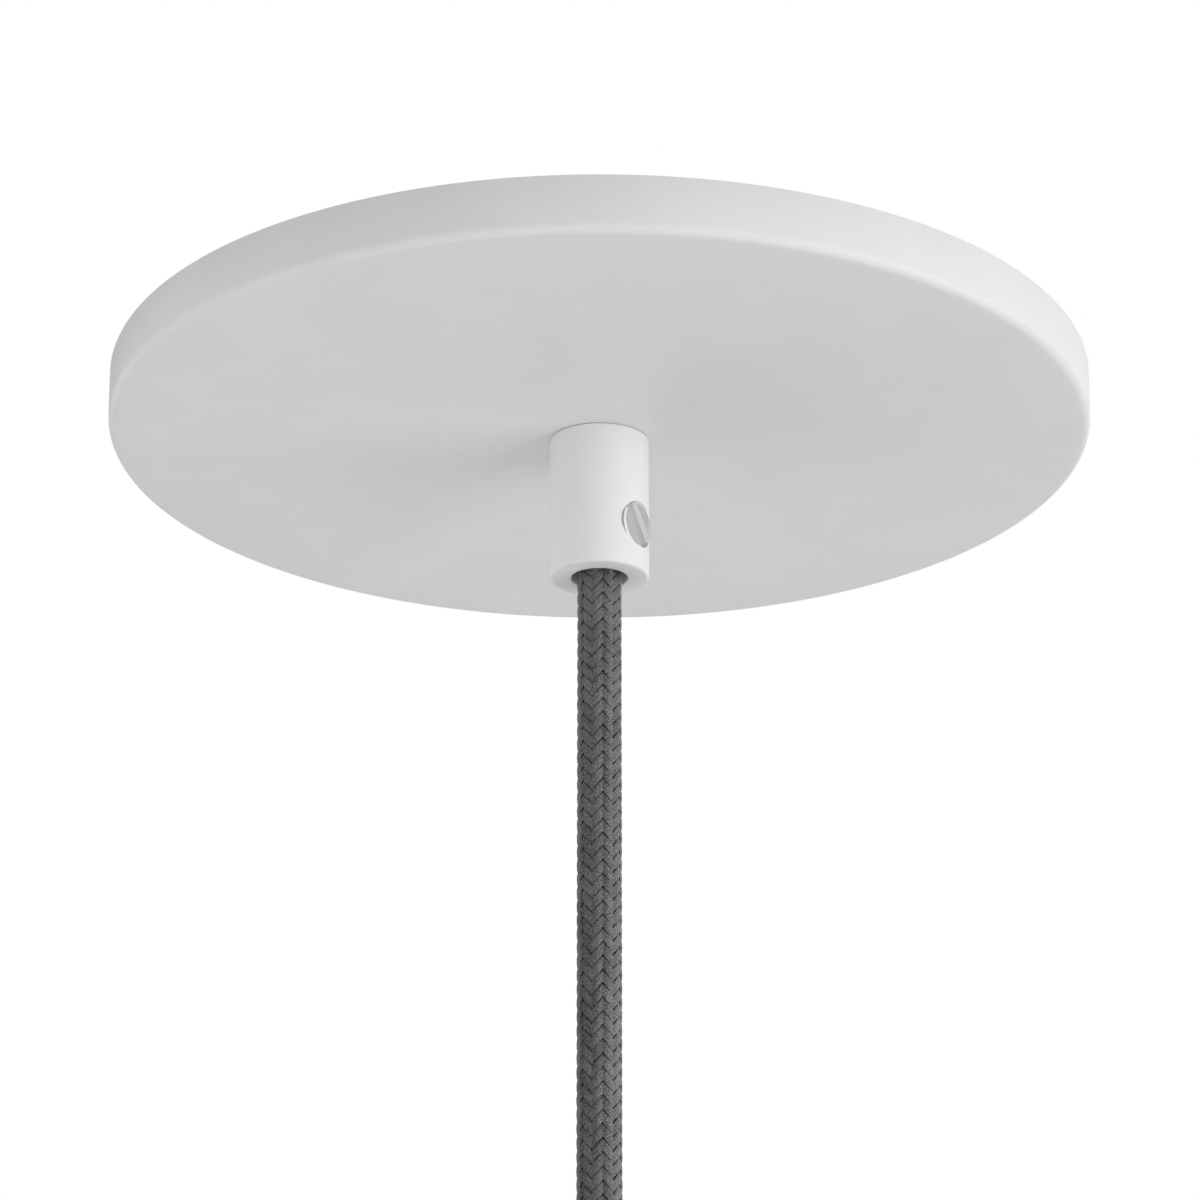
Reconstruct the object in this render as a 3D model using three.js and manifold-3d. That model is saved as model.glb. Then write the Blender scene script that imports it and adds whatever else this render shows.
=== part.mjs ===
// Recessed ceiling canopy with its pendant cord, in millimetres, +Z up.
// A shallow white cover lies against the ceiling, round a recess for the wiring.
// A steel crossbar is screwed to the ceiling across the recess, and a hollow nipple hangs from it.
// The cord grip screws on the nipple from below and carries the cover, and its clear screw clamps
// the cord. The terminal block and the earth fitting stand on the crossbar, in the recess.
// The origin is on the vertical axis, in the plane of the ceiling.

import * as THREE from "three";
import { mergeVertices } from "three/addons/utils/BufferGeometryUtils.js";
import Module from "manifold-3d";

const wasm = await Module();
wasm.setup();

// Gaps between neighbours
const SEAT_GAP = 0.05;
const FIT_GAP = 0.25;
const END_GAP = 0.3;
const CUT_OVERRUN = 9;

// Sides of round pieces
const COVER_SIDES = 96;
const GRIP_SIDES = 48;
const SMALL_SIDES = 24;
const TINY_SIDES = 12;
const CORD_SIDES = 12;
const WIRE_SIDES = 8;
const CORD_STEPS = 10;
const CONDUCTOR_STEPS = 20;
const LEAD_STEPS = 24;
const TAIL_STEPS = 6;

// Cover, a pressed pan
const COVER_RADIUS = 60;
const COVER_WALL = 1.2;
const COVER_EDGE_RADIUS = 1.1;
const COVER_CLEARANCE = 1.25;

// Pendant cord, with its braid
const CORD_DIAMETER = 5.4;
const WIRE_DIAMETER = 2;
const WIRE_CLEARANCE = 0.12;

// Hollow nipple and its nuts
const NIPPLE_CLEARANCE = 0.9;
const NIPPLE_WALL = 1.25;
const NIPPLE_PROUD = 0.6;
const NUT_LAND = 2.15;
const NUT_HEIGHT = 2.5;
const WASHER_THICKNESS = 0.8;
const WASHER_LAND = 3.2;
const WASHER_TEETH = 12;
const WASHER_TOOTH_DEPTH = 0.8;

// Cord grip and its clear screw
const GRIP_WALL = 0.95;
const GRIP_LENGTH = 18;
const GRIP_EDGE_RADIUS = 0.35;
const GRIP_MOUTH_CLEARANCE = 0.75;
const GRIP_SHELF = 1.68;
const GRIP_THREAD_RELIEF = 0.8;
const CLAMP_DIAMETER = 5.7;
const CLAMP_EDGE = 2.92;
const CLAMP_SUNK = 0.18;
const CLAMP_CHAMFER = 0.12;
const CLAMP_SLOT_WIDTH = 2.1;
const CLAMP_SLOT_DEPTH = 0.6;
const CLAMP_FIT = 0.12;
const CLAMP_BEARING = -35;
const CLAMP_SLOT_TILT = 35;

// Terminal block
const BLOCK_PLACE = 22;
const POLE_PITCH = 10;
const BLOCK_END = 5.5;
const BLOCK_DEPTH = 17;
const BLOCK_BASE = 8;
const TOWER_ROOT = 1;
const TOWER_RADIUS = 3.3;
const TOWER_HEIGHT = 4.5;
const TOWER_INSET = 3.7;
const TUNNEL_RADIUS = 2.4;
const TUNNEL_WALL = 1.2;
const SLEEVE_INSET = 1.5;
const SLEEVE_BORE = 1.3;
const TERMINAL_SCREW_RADIUS = 1.45;
const TERMINAL_SCREW_LENGTH = 4.6;
const WELL_RADIUS = 2;

// Crossbar, with a slot for a ceiling screw near each end
const CROSSBAR_REACH = 54;
const CROSSBAR_THICKNESS = 2;
const CROSSBAR_WIDTH = 18;
const CEILING_SCREW_PLACE = 45;
const SLOT_TRAVEL = 3;

// Screws, by their shank radius
const M4_RADIUS = 1.95;
const M4_HEAD_RADIUS = 3.9;
const M4_HEAD_HEIGHT = 2.3;
const M3_RADIUS = 1.45;
const M3_HEAD_RADIUS = 2.6;
const M3_HEAD_HEIGHT = 1.8;
const WOOD_SCREW_RADIUS = 1.9;
const WOOD_SCREW_LENGTH = 18;
const WOOD_SCREW_TIP = 5;
const MACHINE_TIP = 0.5;
const SCREW_PROUD = 1.6;
const WOOD_SCREW_POINT = 0.4;
const SLOT_WIDTH = 0.9;
const SLOT_DEPTH = 0.9;
const HEAD_CHAMFER = 0.6;

// Earth fitting, on the other side of the nipple
const EARTH_PLACE = -20;
const TAG_RADIUS = 4;
const TAG_THICKNESS = 0.8;
const TAG_NECK = 3.4;
const TAG_BARREL_RADIUS = 1.5;
const TAG_BARREL_LENGTH = 4;
const EARTH_WASHER_RADIUS = 3.8;
const EARTH_WASHER_THICKNESS = 0.6;

// Conductors over the crossbar: each point's share of the way to the block, across and up
const CONDUCTOR_LOOP = 5.7;
const CONDUCTOR_WAY = [
  [0, 0, 0],
  [0, 0.04, 0.36],
  [0.03, 0.36, 0.8],
  [0.17, 0.84, 1],
  [0.44, 1.1, 0.7],
  [0.68, 1.05, 0.22],
  [0.84, 1, 0.01],
  [0.93, 1, 0],
  [1, 1, 0],
];

// Earth lead, round the end of the block
const LEAD_STRAIGHT = 3;
const LEAD_BEND = 3;
const LEAD_CLEARANCE = 5.5;
const LEAD_HEIGHT = 5;

// Cord's lower end
const SLEEVE_CLEARANCE = 0.3;
const END_SLEEVE_WALL = 0.45;
const END_SLEEVE_ABOVE = 6;
const END_SLEEVE_BELOW = 3;
const TAIL_LENGTH = 12;
const TAIL_SPLAY = 1.6;
const CORE_RADIUS = 0.55;
const FERRULE_WALL = 0.25;
const FERRULE_LENGTH = 6;

// The cord's route, from just above the nipple straight down, as the lamp's weight pulls it
const CORD_ROUTE = [
  [0, 0, 4.2],
  [0, 0, 0],
  [0, 0, -8],
  [0, 0, -16],
  [0, 0, -24],
  [0, 0, -32],
  [0, 0, -40],
  [0, 0, -48],
  [0, 0, -56],
  [0, 0, -64],
  [0, 0, -72],
  [0, 0, -80],
  [0, 0, -88],
  [0, 0, -96],
  [0, 0, -104],
  [0, 0, -112],
];
const CORD_TOP = CORD_ROUTE[0][2];
const CORD_BOTTOM = CORD_ROUTE[CORD_ROUTE.length - 1][2];

// Radii that follow from the cord outwards
const cordRadius = CORD_DIAMETER / 2;
const nippleBore = cordRadius + NIPPLE_CLEARANCE;
const nippleRadius = nippleBore + NIPPLE_WALL;
const threadHole = nippleRadius + FIT_GAP;
const gripRadius = threadHole + GRIP_WALL;
const gripMouth = cordRadius + GRIP_MOUTH_CLEARANCE;
const wireRadius = WIRE_DIAMETER / 2;

// Heights that follow from the ceiling, whose plane is the crossbar's upper face
const crossbarTop = 0;
const crossbarBottom = crossbarTop - CROSSBAR_THICKNESS;
const lowerNutTop = crossbarBottom - SEAT_GAP;
const coverInside = lowerNutTop - NUT_HEIGHT - COVER_CLEARANCE;
const coverBottom = coverInside - COVER_WALL;
const gripTop = coverBottom - SEAT_GAP;
const gripBottom = gripTop - GRIP_LENGTH;
const clampRadius = CLAMP_DIAMETER / 2;
const clampHole = clampRadius + CLAMP_FIT;
const clampHeight = gripBottom + CLAMP_EDGE + clampRadius;
const nippleBottom = clampHeight + clampHole + GRIP_SHELF;
const washerBottom = crossbarTop + SEAT_GAP;
const upperNutBottom = washerBottom + WASHER_THICKNESS + SEAT_GAP;
const nippleTop = upperNutBottom + NUT_HEIGHT + NIPPLE_PROUD;

// Places on the crossbar
const blockBottom = crossbarTop + SEAT_GAP;
const blockTop = blockBottom + BLOCK_BASE;
const towerTop = blockTop + TOWER_HEIGHT;
const tunnelHeight = blockTop - TUNNEL_WALL - TUNNEL_RADIUS;
const blockHalfLength = POLE_PITCH + BLOCK_END;
const sleeveRadius = TUNNEL_RADIUS - FIT_GAP;
const sleeveEnd = BLOCK_DEPTH / 2 - SLEEVE_INSET;
const towerPlace = BLOCK_DEPTH / 2 - TOWER_INSET;
const polePlaces = [-POLE_PITCH, 0, POLE_PITCH];
const sides = [["left", -1], ["right", 1]];
const ends = [["front", -1], ["back", 1]];

// Shapes

function arc(r, z, radius, fromDegrees, toDegrees, steps) {
  const points = [];
  for (let i = 0; i <= steps; i += 1) {
    const angle = THREE.MathUtils.degToRad(fromDegrees + ((toDegrees - fromDegrees) * i) / steps);
    points.push([r + radius * Math.cos(angle), z + radius * Math.sin(angle)]);
  }
  return points;
}

// A solid of revolution about Z. The outline runs anticlockwise, seen with r to the right.
function turned(outline, sides) {
  const points = outline.map(([r, z]) => new THREE.Vector2(r, z));
  return new THREE.LatheGeometry(points, sides).rotateX(Math.PI / 2);
}

function disc(radius, bottom, top, sides) {
  return turned([[0, bottom], [radius, bottom], [radius, top], [0, top]], sides);
}

function ring(inner, outer, bottom, top, sides) {
  const outline = [[inner, bottom], [outer, bottom], [outer, top], [inner, top], [inner, bottom]];
  return turned(outline, sides);
}

function box(width, depth, bottom, top) {
  return new THREE.BoxGeometry(width, depth, top - bottom).translate(0, 0, (bottom + top) / 2);
}

function plate(shape, bottom, thickness, curveSegments) {
  const options = { depth: thickness, bevelEnabled: false, curveSegments };
  return new THREE.ExtrudeGeometry(shape, options).translate(0, 0, bottom);
}

function roundHole(x, y, radius) {
  return new THREE.Path().absarc(x, y, radius, 0, Math.PI * 2, true);
}

function polygon(count, radiusAt) {
  const shape = new THREE.Shape();
  for (let i = 0; i < count; i += 1) {
    const angle = (i / count) * Math.PI * 2;
    const radius = radiusAt(i);
    const x = radius * Math.cos(angle);
    const y = radius * Math.sin(angle);
    if (i === 0) shape.moveTo(x, y);
    else shape.lineTo(x, y);
  }
  shape.closePath();
  return shape;
}

function tube(points, radius, sides, steps) {
  const section = new THREE.Shape();
  for (let i = 0; i < sides; i += 1) {
    const angle = (i / sides) * Math.PI * 2;
    if (i === 0) section.moveTo(radius, 0);
    else section.lineTo(radius * Math.cos(angle), radius * Math.sin(angle));
  }
  section.closePath();
  const path = new THREE.CatmullRomCurve3(points.map((point) => new THREE.Vector3(...point)));
  return new THREE.ExtrudeGeometry(section, { steps, extrudePath: path, bevelEnabled: false });
}

// Joins and cuts

function toSolid(geometry) {
  const bare = geometry.clone();
  bare.deleteAttribute("normal");
  bare.deleteAttribute("uv");
  const merged = mergeVertices(bare);
  const corners = merged.index.array;
  const kept = [];
  for (let i = 0; i < corners.length; i += 3) {
    const [a, b, c] = [corners[i], corners[i + 1], corners[i + 2]];
    if (a !== b && b !== c && c !== a) kept.push(a, b, c);
  }
  const vertProperties = Float32Array.from(merged.attributes.position.array);
  const triVerts = Uint32Array.from(kept);
  return new wasm.Manifold(new wasm.Mesh({ numProp: 3, vertProperties, triVerts }));
}

function toGeometry(solid) {
  const mesh = solid.getMesh();
  const geometry = new THREE.BufferGeometry();
  geometry.setAttribute("position", new THREE.BufferAttribute(mesh.vertProperties, 3));
  geometry.setIndex(new THREE.BufferAttribute(mesh.triVerts, 1));
  geometry.computeVertexNormals();
  return geometry;
}

function carve(body, additions, cutters) {
  let solid = toSolid(body);
  additions.forEach((addition) => {
    solid = solid.add(toSolid(addition));
  });
  cutters.forEach((cutter) => {
    solid = solid.subtract(toSolid(cutter));
  });
  return toGeometry(solid);
}

// Finishes

function finish(color, roughness, metalness, opacity = 1) {
  return new THREE.MeshStandardMaterial({
    color,
    roughness,
    metalness,
    opacity,
    transparent: opacity < 1,
  });
}

const powderCoat = finish(0xe9e9e9, 0.5, 0);
const whitePolyamide = finish(0xe6e7e8, 0.42, 0);
const clearNylon = finish(0xe4e6e6, 0.15, 0, 0.5);
const zincSteel = finish(0xb9bcc0, 0.38, 1);
const brass = finish(0xc9a54e, 0.32, 1);
const blackRubber = finish(0x232425, 0.8, 0);
const greyBraid = finish(0x4a4a4b, 0.85, 0);
const brownSheath = finish(0x5b3420, 0.45, 0);
const blueSheath = finish(0x2a5da8, 0.45, 0);
const earthSheath = finish(0x5f9a3c, 0.45, 0);
const tinnedCopper = finish(0xc4c4c0, 0.35, 1);

const object = new THREE.Group();

function addPiece(name, geometry, material, parent = object) {
  const mesh = new THREE.Mesh(geometry, material);
  mesh.name = name;
  parent.add(mesh);
  return mesh;
}

// Screws

// Head below z = 0 with a slot in it, shank above.
function slottedScrew(shank, length, head, headHeight, tip) {
  const outline = [
    [0, -headHeight],
    [head - HEAD_CHAMFER, -headHeight],
    [head, HEAD_CHAMFER - headHeight],
    [head, 0],
    [shank, 0],
    [shank, length - tip],
    [Math.max(shank - tip, WOOD_SCREW_POINT), length],
    [0, length],
  ];
  const slot = box(SLOT_WIDTH, head * 3, -headHeight - CUT_OVERRUN, SLOT_DEPTH - headHeight);
  return carve(turned(outline, TINY_SIDES), [], [slot]);
}

// Cover

function addCover() {
  const inner = COVER_RADIUS - COVER_WALL;
  const outerArc = arc(
    COVER_RADIUS - COVER_EDGE_RADIUS, coverBottom + COVER_EDGE_RADIUS, COVER_EDGE_RADIUS, -90, 0, 5,
  );
  const bend = COVER_EDGE_RADIUS / 2;
  const innerArc = arc(inner - bend, coverInside + bend, bend, 0, -90, 3);
  const outline = [
    [threadHole, coverBottom],
    ...outerArc,
    [COVER_RADIUS, 0],
    [inner, 0],
    ...innerArc,
    [threadHole, coverInside],
    [threadHole, coverBottom],
  ];
  addPiece("canopy_cover", turned(outline, COVER_SIDES), powderCoat);
}

// Cord grip with its clamping screw

function turnToClamp(geometry) {
  geometry.rotateZ(THREE.MathUtils.degToRad(CLAMP_SLOT_TILT));
  geometry.rotateY(Math.PI / 2);
  geometry.rotateZ(THREE.MathUtils.degToRad(CLAMP_BEARING));
  return geometry.translate(0, 0, clampHeight);
}

function addGrip() {
  const threadEnd = nippleBottom - GRIP_THREAD_RELIEF;
  const edge = GRIP_EDGE_RADIUS;
  const outline = [
    [gripMouth, gripBottom],
    ...arc(gripRadius - edge, gripBottom + edge, edge, -90, 0, 3),
    [gripRadius, gripTop],
    [threadHole, gripTop],
    [threadHole, threadEnd],
    [gripMouth, threadEnd],
    [gripMouth, gripBottom],
  ];
  const hole = turnToClamp(disc(clampHole, 0, gripRadius + CUT_OVERRUN, SMALL_SIDES));
  addPiece("cord_grip", carve(turned(outline, GRIP_SIDES), [], [hole]), whitePolyamide);
}

function addClampScrew() {
  const start = cordRadius + WIRE_CLEARANCE;
  const end = gripRadius - CLAMP_SUNK;
  const small = clampRadius - CLAMP_CHAMFER;
  const outline = [
    [0, start],
    [small, start],
    [clampRadius, start + CLAMP_CHAMFER],
    [clampRadius, end - CLAMP_CHAMFER],
    [small, end],
    [0, end],
  ];
  const slot = box(CLAMP_SLOT_WIDTH, CLAMP_DIAMETER * 2, end - CLAMP_SLOT_DEPTH, end + CUT_OVERRUN);
  slot.rotateZ(Math.PI / 2);
  const screw = carve(turned(outline, SMALL_SIDES), [], [slot]);
  addPiece("grip_screw", turnToClamp(screw), clearNylon);
}

// Nipple, nuts and toothed washer

function hexNut(bottom) {
  const flats = nippleRadius + NUT_LAND;
  const corner = flats / Math.cos(Math.PI / 6);
  const shape = polygon(6, () => corner);
  shape.holes.push(roundHole(0, 0, threadHole));
  return plate(shape, bottom, NUT_HEIGHT, SMALL_SIDES / 2);
}

function toothedWasher(hole, outer, depth, teeth, bottom, thickness) {
  const shape = polygon(teeth * 2, (i) => (i % 2 === 0 ? outer : outer - depth));
  shape.holes.push(roundHole(0, 0, hole));
  return plate(shape, bottom, thickness, TINY_SIDES / 2);
}

function addNipple() {
  const nipple = ring(nippleBore, nippleRadius, nippleBottom, nippleTop, SMALL_SIDES);
  addPiece("nipple", nipple, zincSteel);
  addPiece("nipple_nut_lower", hexNut(lowerNutTop - NUT_HEIGHT), zincSteel);
  addPiece("nipple_nut_upper", hexNut(upperNutBottom), zincSteel);
  const washerRadius = threadHole + WASHER_LAND;
  const washer = toothedWasher(
    threadHole, washerRadius, WASHER_TOOTH_DEPTH, WASHER_TEETH, washerBottom, WASHER_THICKNESS,
  );
  addPiece("nipple_washer", washer, zincSteel);
}

// Crossbar and its screws

function addCrossbar() {
  const half = CROSSBAR_WIDTH / 2;
  const middle = Math.sqrt(CROSSBAR_REACH * CROSSBAR_REACH - half * half);
  const turn = Math.asin(half / CROSSBAR_REACH);
  const shape = new THREE.Shape();
  shape.moveTo(middle, -half);
  shape.absarc(0, 0, CROSSBAR_REACH, -turn, turn, false);
  shape.lineTo(-middle, half);
  shape.absarc(0, 0, CROSSBAR_REACH, Math.PI - turn, Math.PI + turn, false);
  shape.closePath();
  shape.holes.push(roundHole(0, 0, threadHole));
  sides.forEach(([, side]) => {
    const hole = WOOD_SCREW_RADIUS + FIT_GAP;
    const slot = new THREE.Path();
    slot.absarc(side * CEILING_SCREW_PLACE - SLOT_TRAVEL, 0, hole, Math.PI / 2, Math.PI * 1.5, false);
    slot.absarc(side * CEILING_SCREW_PLACE + SLOT_TRAVEL, 0, hole, -Math.PI / 2, Math.PI / 2, false);
    slot.closePath();
    shape.holes.push(slot);
    shape.holes.push(roundHole(BLOCK_PLACE, (side * POLE_PITCH) / 2, M3_RADIUS + FIT_GAP));
  });
  shape.holes.push(roundHole(EARTH_PLACE, 0, M4_RADIUS + FIT_GAP));
  addPiece("crossbar", plate(shape, crossbarBottom, CROSSBAR_THICKNESS, SMALL_SIDES / 2), zincSteel);
}

function addCeilingScrews() {
  sides.forEach(([name, side]) => {
    const screw = slottedScrew(
      WOOD_SCREW_RADIUS, WOOD_SCREW_LENGTH, M4_HEAD_RADIUS, M4_HEAD_HEIGHT, WOOD_SCREW_TIP,
    );
    const piece = addPiece(`ceiling_screw_${name}`, screw, zincSteel);
    piece.position.set(side * CEILING_SCREW_PLACE, 0, crossbarBottom - SEAT_GAP);
  });
}

// Terminal block with its sleeves and screws

function addTerminalBlock() {
  const body = box(BLOCK_DEPTH, blockHalfLength * 2, blockBottom, blockTop);
  const towers = [];
  const cutters = [];
  polePlaces.forEach((y) => {
    const tunnel = disc(TUNNEL_RADIUS, -BLOCK_DEPTH, BLOCK_DEPTH, TINY_SIDES).rotateY(Math.PI / 2);
    cutters.push(tunnel.translate(0, y, tunnelHeight));
    sides.forEach(([, side]) => {
      const x = side * towerPlace;
      const tower = disc(TOWER_RADIUS, blockTop - TOWER_ROOT, towerTop, TINY_SIDES);
      towers.push(tower.translate(x, y, 0));
      const well = disc(WELL_RADIUS, tunnelHeight, towerTop + CUT_OVERRUN, TINY_SIDES);
      cutters.push(well.translate(x, y, 0));
    });
  });
  ends.forEach(([, end]) => {
    const hole = disc(M3_RADIUS + FIT_GAP, blockBottom - CUT_OVERRUN, towerTop, TINY_SIDES);
    cutters.push(hole.translate(0, (end * POLE_PITCH) / 2, 0));
  });
  const block = carve(body, towers, cutters).translate(BLOCK_PLACE, 0, 0);
  addPiece("terminal_block", block, whitePolyamide);
}

function addTerminals() {
  polePlaces.forEach((y, i) => {
    const tube = ring(SLEEVE_BORE, sleeveRadius, -sleeveEnd, sleeveEnd, TINY_SIDES);
    tube.rotateY(Math.PI / 2).translate(0, 0, tunnelHeight);
    const holes = sides.map(([, side]) => {
      const hole = disc(TERMINAL_SCREW_RADIUS + FIT_GAP, tunnelHeight, towerTop, TINY_SIDES);
      return hole.translate(side * towerPlace, 0, 0);
    });
    const sleeve = addPiece(`terminal_sleeve_${i + 1}`, carve(tube, [], holes), brass);
    sleeve.position.set(BLOCK_PLACE, y, 0);
    sides.forEach(([name, side]) => {
      const bottom = tunnelHeight + END_GAP;
      const top = bottom + TERMINAL_SCREW_LENGTH;
      const slot = box(SLOT_WIDTH, TERMINAL_SCREW_RADIUS * 3, top - SLOT_DEPTH, top + CUT_OVERRUN);
      const screw = carve(disc(TERMINAL_SCREW_RADIUS, bottom, top, TINY_SIDES), [], [slot]);
      const piece = addPiece(`terminal_screw_${name}_${i + 1}`, screw, zincSteel);
      piece.position.set(BLOCK_PLACE + side * towerPlace, y, 0);
    });
  });
}

function addBlockScrews() {
  const length = SEAT_GAP + BLOCK_BASE + SEAT_GAP + CROSSBAR_THICKNESS + SCREW_PROUD;
  ends.forEach(([name, end]) => {
    const screw = slottedScrew(M3_RADIUS, length, M3_HEAD_RADIUS, M3_HEAD_HEIGHT, MACHINE_TIP);
    const piece = addPiece(`block_screw_${name}`, screw.rotateX(Math.PI), zincSteel);
    piece.position.set(BLOCK_PLACE, (end * POLE_PITCH) / 2, blockTop + SEAT_GAP);
  });
}

// Earth fitting

const tagBottom = crossbarTop + SEAT_GAP + EARTH_WASHER_THICKNESS + SEAT_GAP;
const tagTop = tagBottom + TAG_THICKNESS;
const tagBarrelHeight = tagBottom + TAG_BARREL_RADIUS;
const tagBarrelStart = TAG_RADIUS + TAG_NECK - TAG_BARREL_LENGTH / 2;

function addEarthFitting() {
  const hole = M4_RADIUS + FIT_GAP;
  const washer = toothedWasher(
    hole, EARTH_WASHER_RADIUS, WASHER_TOOTH_DEPTH, TINY_SIDES / 2,
    crossbarTop + SEAT_GAP, EARTH_WASHER_THICKNESS,
  );
  addPiece("earth_washer", washer, zincSteel).position.set(EARTH_PLACE, 0, 0);

  const flat = disc(TAG_RADIUS, tagBottom, tagTop, SMALL_SIDES);
  const neck = box(TAG_BARREL_RADIUS * 2, TAG_RADIUS + TAG_NECK, tagBottom, tagTop);
  neck.translate(0, (TAG_RADIUS + TAG_NECK) / 2, 0);
  const barrel = disc(TAG_BARREL_RADIUS, 0, TAG_BARREL_LENGTH, TINY_SIDES).rotateX(-Math.PI / 2);
  barrel.translate(0, tagBarrelStart, tagBarrelHeight);
  const tagHole = disc(hole, tagBottom - CUT_OVERRUN, tagTop + CUT_OVERRUN, TINY_SIDES);
  const tag = carve(flat, [neck, barrel], [tagHole]);
  addPiece("earth_tag", tag, tinnedCopper).position.set(EARTH_PLACE, 0, 0);

  const headBottom = tagTop + SEAT_GAP;
  const length = headBottom - crossbarBottom + SCREW_PROUD;
  const screw = slottedScrew(M4_RADIUS, length, TAG_RADIUS - FIT_GAP, M4_HEAD_HEIGHT, MACHINE_TIP);
  const piece = addPiece("earth_screw", screw.rotateX(Math.PI), zincSteel);
  piece.position.set(EARTH_PLACE, 0, headBottom);
}

// Cord, its conductors and its lower end

const conductors = [
  { name: "brown", angle: 210, pole: -POLE_PITCH, material: brownSheath },
  { name: "earth", angle: 90, pole: POLE_PITCH, material: earthSheath },
  { name: "blue", angle: 330, pole: 0, material: blueSheath },
];
const triadRadius = wireRadius / Math.cos(Math.PI / 6) + WIRE_CLEARANCE;

function triadPlace(angle) {
  const turn = THREE.MathUtils.degToRad(angle);
  return [triadRadius * Math.cos(turn), triadRadius * Math.sin(turn)];
}

function addConductors() {
  const bottom = CORD_TOP + END_GAP;
  const entry = BLOCK_PLACE - sleeveEnd - END_GAP;
  conductors.forEach(({ name, angle, pole, material }) => {
    const [x, y] = triadPlace(angle);
    const route = CONDUCTOR_WAY.map(([along, across, up]) => [
      x + (entry - x) * along,
      y + (pole - y) * across,
      bottom + (tunnelHeight - bottom) * along + CONDUCTOR_LOOP * up,
    ]);
    addPiece(`conductor_${name}`, tube(route, wireRadius, WIRE_SIDES, CONDUCTOR_STEPS), material);
  });
}

function addEarthLead() {
  const start = BLOCK_PLACE + sleeveEnd + END_GAP;
  const far = start + LEAD_STRAIGHT + LEAD_BEND;
  const back = blockHalfLength + LEAD_CLEARANCE;
  const tagEnd = tagBarrelStart + TAG_BARREL_LENGTH + END_GAP;
  const route = [
    [start, POLE_PITCH, tunnelHeight],
    [start + LEAD_STRAIGHT, POLE_PITCH, tunnelHeight],
    [far, POLE_PITCH + LEAD_BEND, tunnelHeight],
    [far, back - LEAD_BEND, LEAD_HEIGHT],
    [far - LEAD_BEND * 1.5, back, LEAD_HEIGHT],
    [BLOCK_PLACE - LEAD_BEND, back + LEAD_BEND / 4, LEAD_HEIGHT],
    [0, back, LEAD_HEIGHT],
    [EARTH_PLACE + LEAD_BEND * 3, back - LEAD_BEND, (LEAD_HEIGHT + tagBarrelHeight) / 2],
    [EARTH_PLACE + LEAD_BEND / 3, tagEnd + LEAD_BEND * 1.5, tagBarrelHeight],
    [EARTH_PLACE, tagEnd + LEAD_BEND / 2, tagBarrelHeight],
    [EARTH_PLACE, tagEnd, tagBarrelHeight],
  ];
  addPiece("earth_lead", tube(route, wireRadius, WIRE_SIDES, LEAD_STEPS), earthSheath);
}

function addCord() {
  addPiece("pendant_cord", tube(CORD_ROUTE, cordRadius, CORD_SIDES, CORD_STEPS), greyBraid);

  const inside = cordRadius + SLEEVE_CLEARANCE;
  const outside = inside + END_SLEEVE_WALL;
  const tipHole = triadRadius + wireRadius + SLEEVE_CLEARANCE;
  const shoulder = CORD_BOTTOM - END_GAP;
  const bottom = CORD_BOTTOM - END_SLEEVE_BELOW;
  const outline = [
    [tipHole, bottom],
    [tipHole + END_SLEEVE_WALL, bottom],
    [outside, shoulder],
    [outside, CORD_BOTTOM + END_SLEEVE_ABOVE],
    [inside, CORD_BOTTOM + END_SLEEVE_ABOVE],
    [inside, shoulder],
    [tipHole, shoulder],
    [tipHole, bottom],
  ];
  addPiece("end_sleeve", turned(outline, SMALL_SIDES), blackRubber);

  conductors.forEach(({ name, angle, material }) => {
    const [x, y] = triadPlace(angle);
    const splay = TAIL_SPLAY;
    const top = CORD_BOTTOM - END_GAP;
    const end = top - TAIL_LENGTH;
    const route = [
      [x, y, top],
      [x, y, top - TAIL_LENGTH * 0.4],
      [x * splay, y * splay, top - TAIL_LENGTH * 0.8],
      [x * splay, y * splay, end],
    ];
    addPiece(`tail_${name}`, tube(route, wireRadius, WIRE_SIDES, TAIL_STEPS), material);
    const ferruleTop = end - END_GAP;
    const ferrule = ring(
      CORE_RADIUS, CORE_RADIUS + FERRULE_WALL, ferruleTop - FERRULE_LENGTH, ferruleTop, TINY_SIDES,
    );
    ferrule.translate(x * splay, y * splay, 0);
    addPiece(`ferrule_${name}`, ferrule, tinnedCopper);
  });
}

addCover();
addGrip();
addClampScrew();
addNipple();
addCrossbar();
addCeilingScrews();
addTerminalBlock();
addTerminals();
addBlockScrews();
addEarthFitting();
addConductors();
addEarthLead();
addCord();

export default object;
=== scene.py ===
"""Looks of a recessed ceiling canopy with its cord grip and its braided pendant cord.

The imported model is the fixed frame: the origin is on the vertical axis in the plane of the
ceiling, +Z points up into it and -Y towards the viewer. Sizes are in millimetres until a shape
is handed to Blender, which works in metres.
"""

import logging
import math
from dataclasses import dataclass
from enum import Enum
from typing import Callable, Sequence

import bmesh
import bpy
import numpy as np
from mathutils import Matrix, Vector


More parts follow.
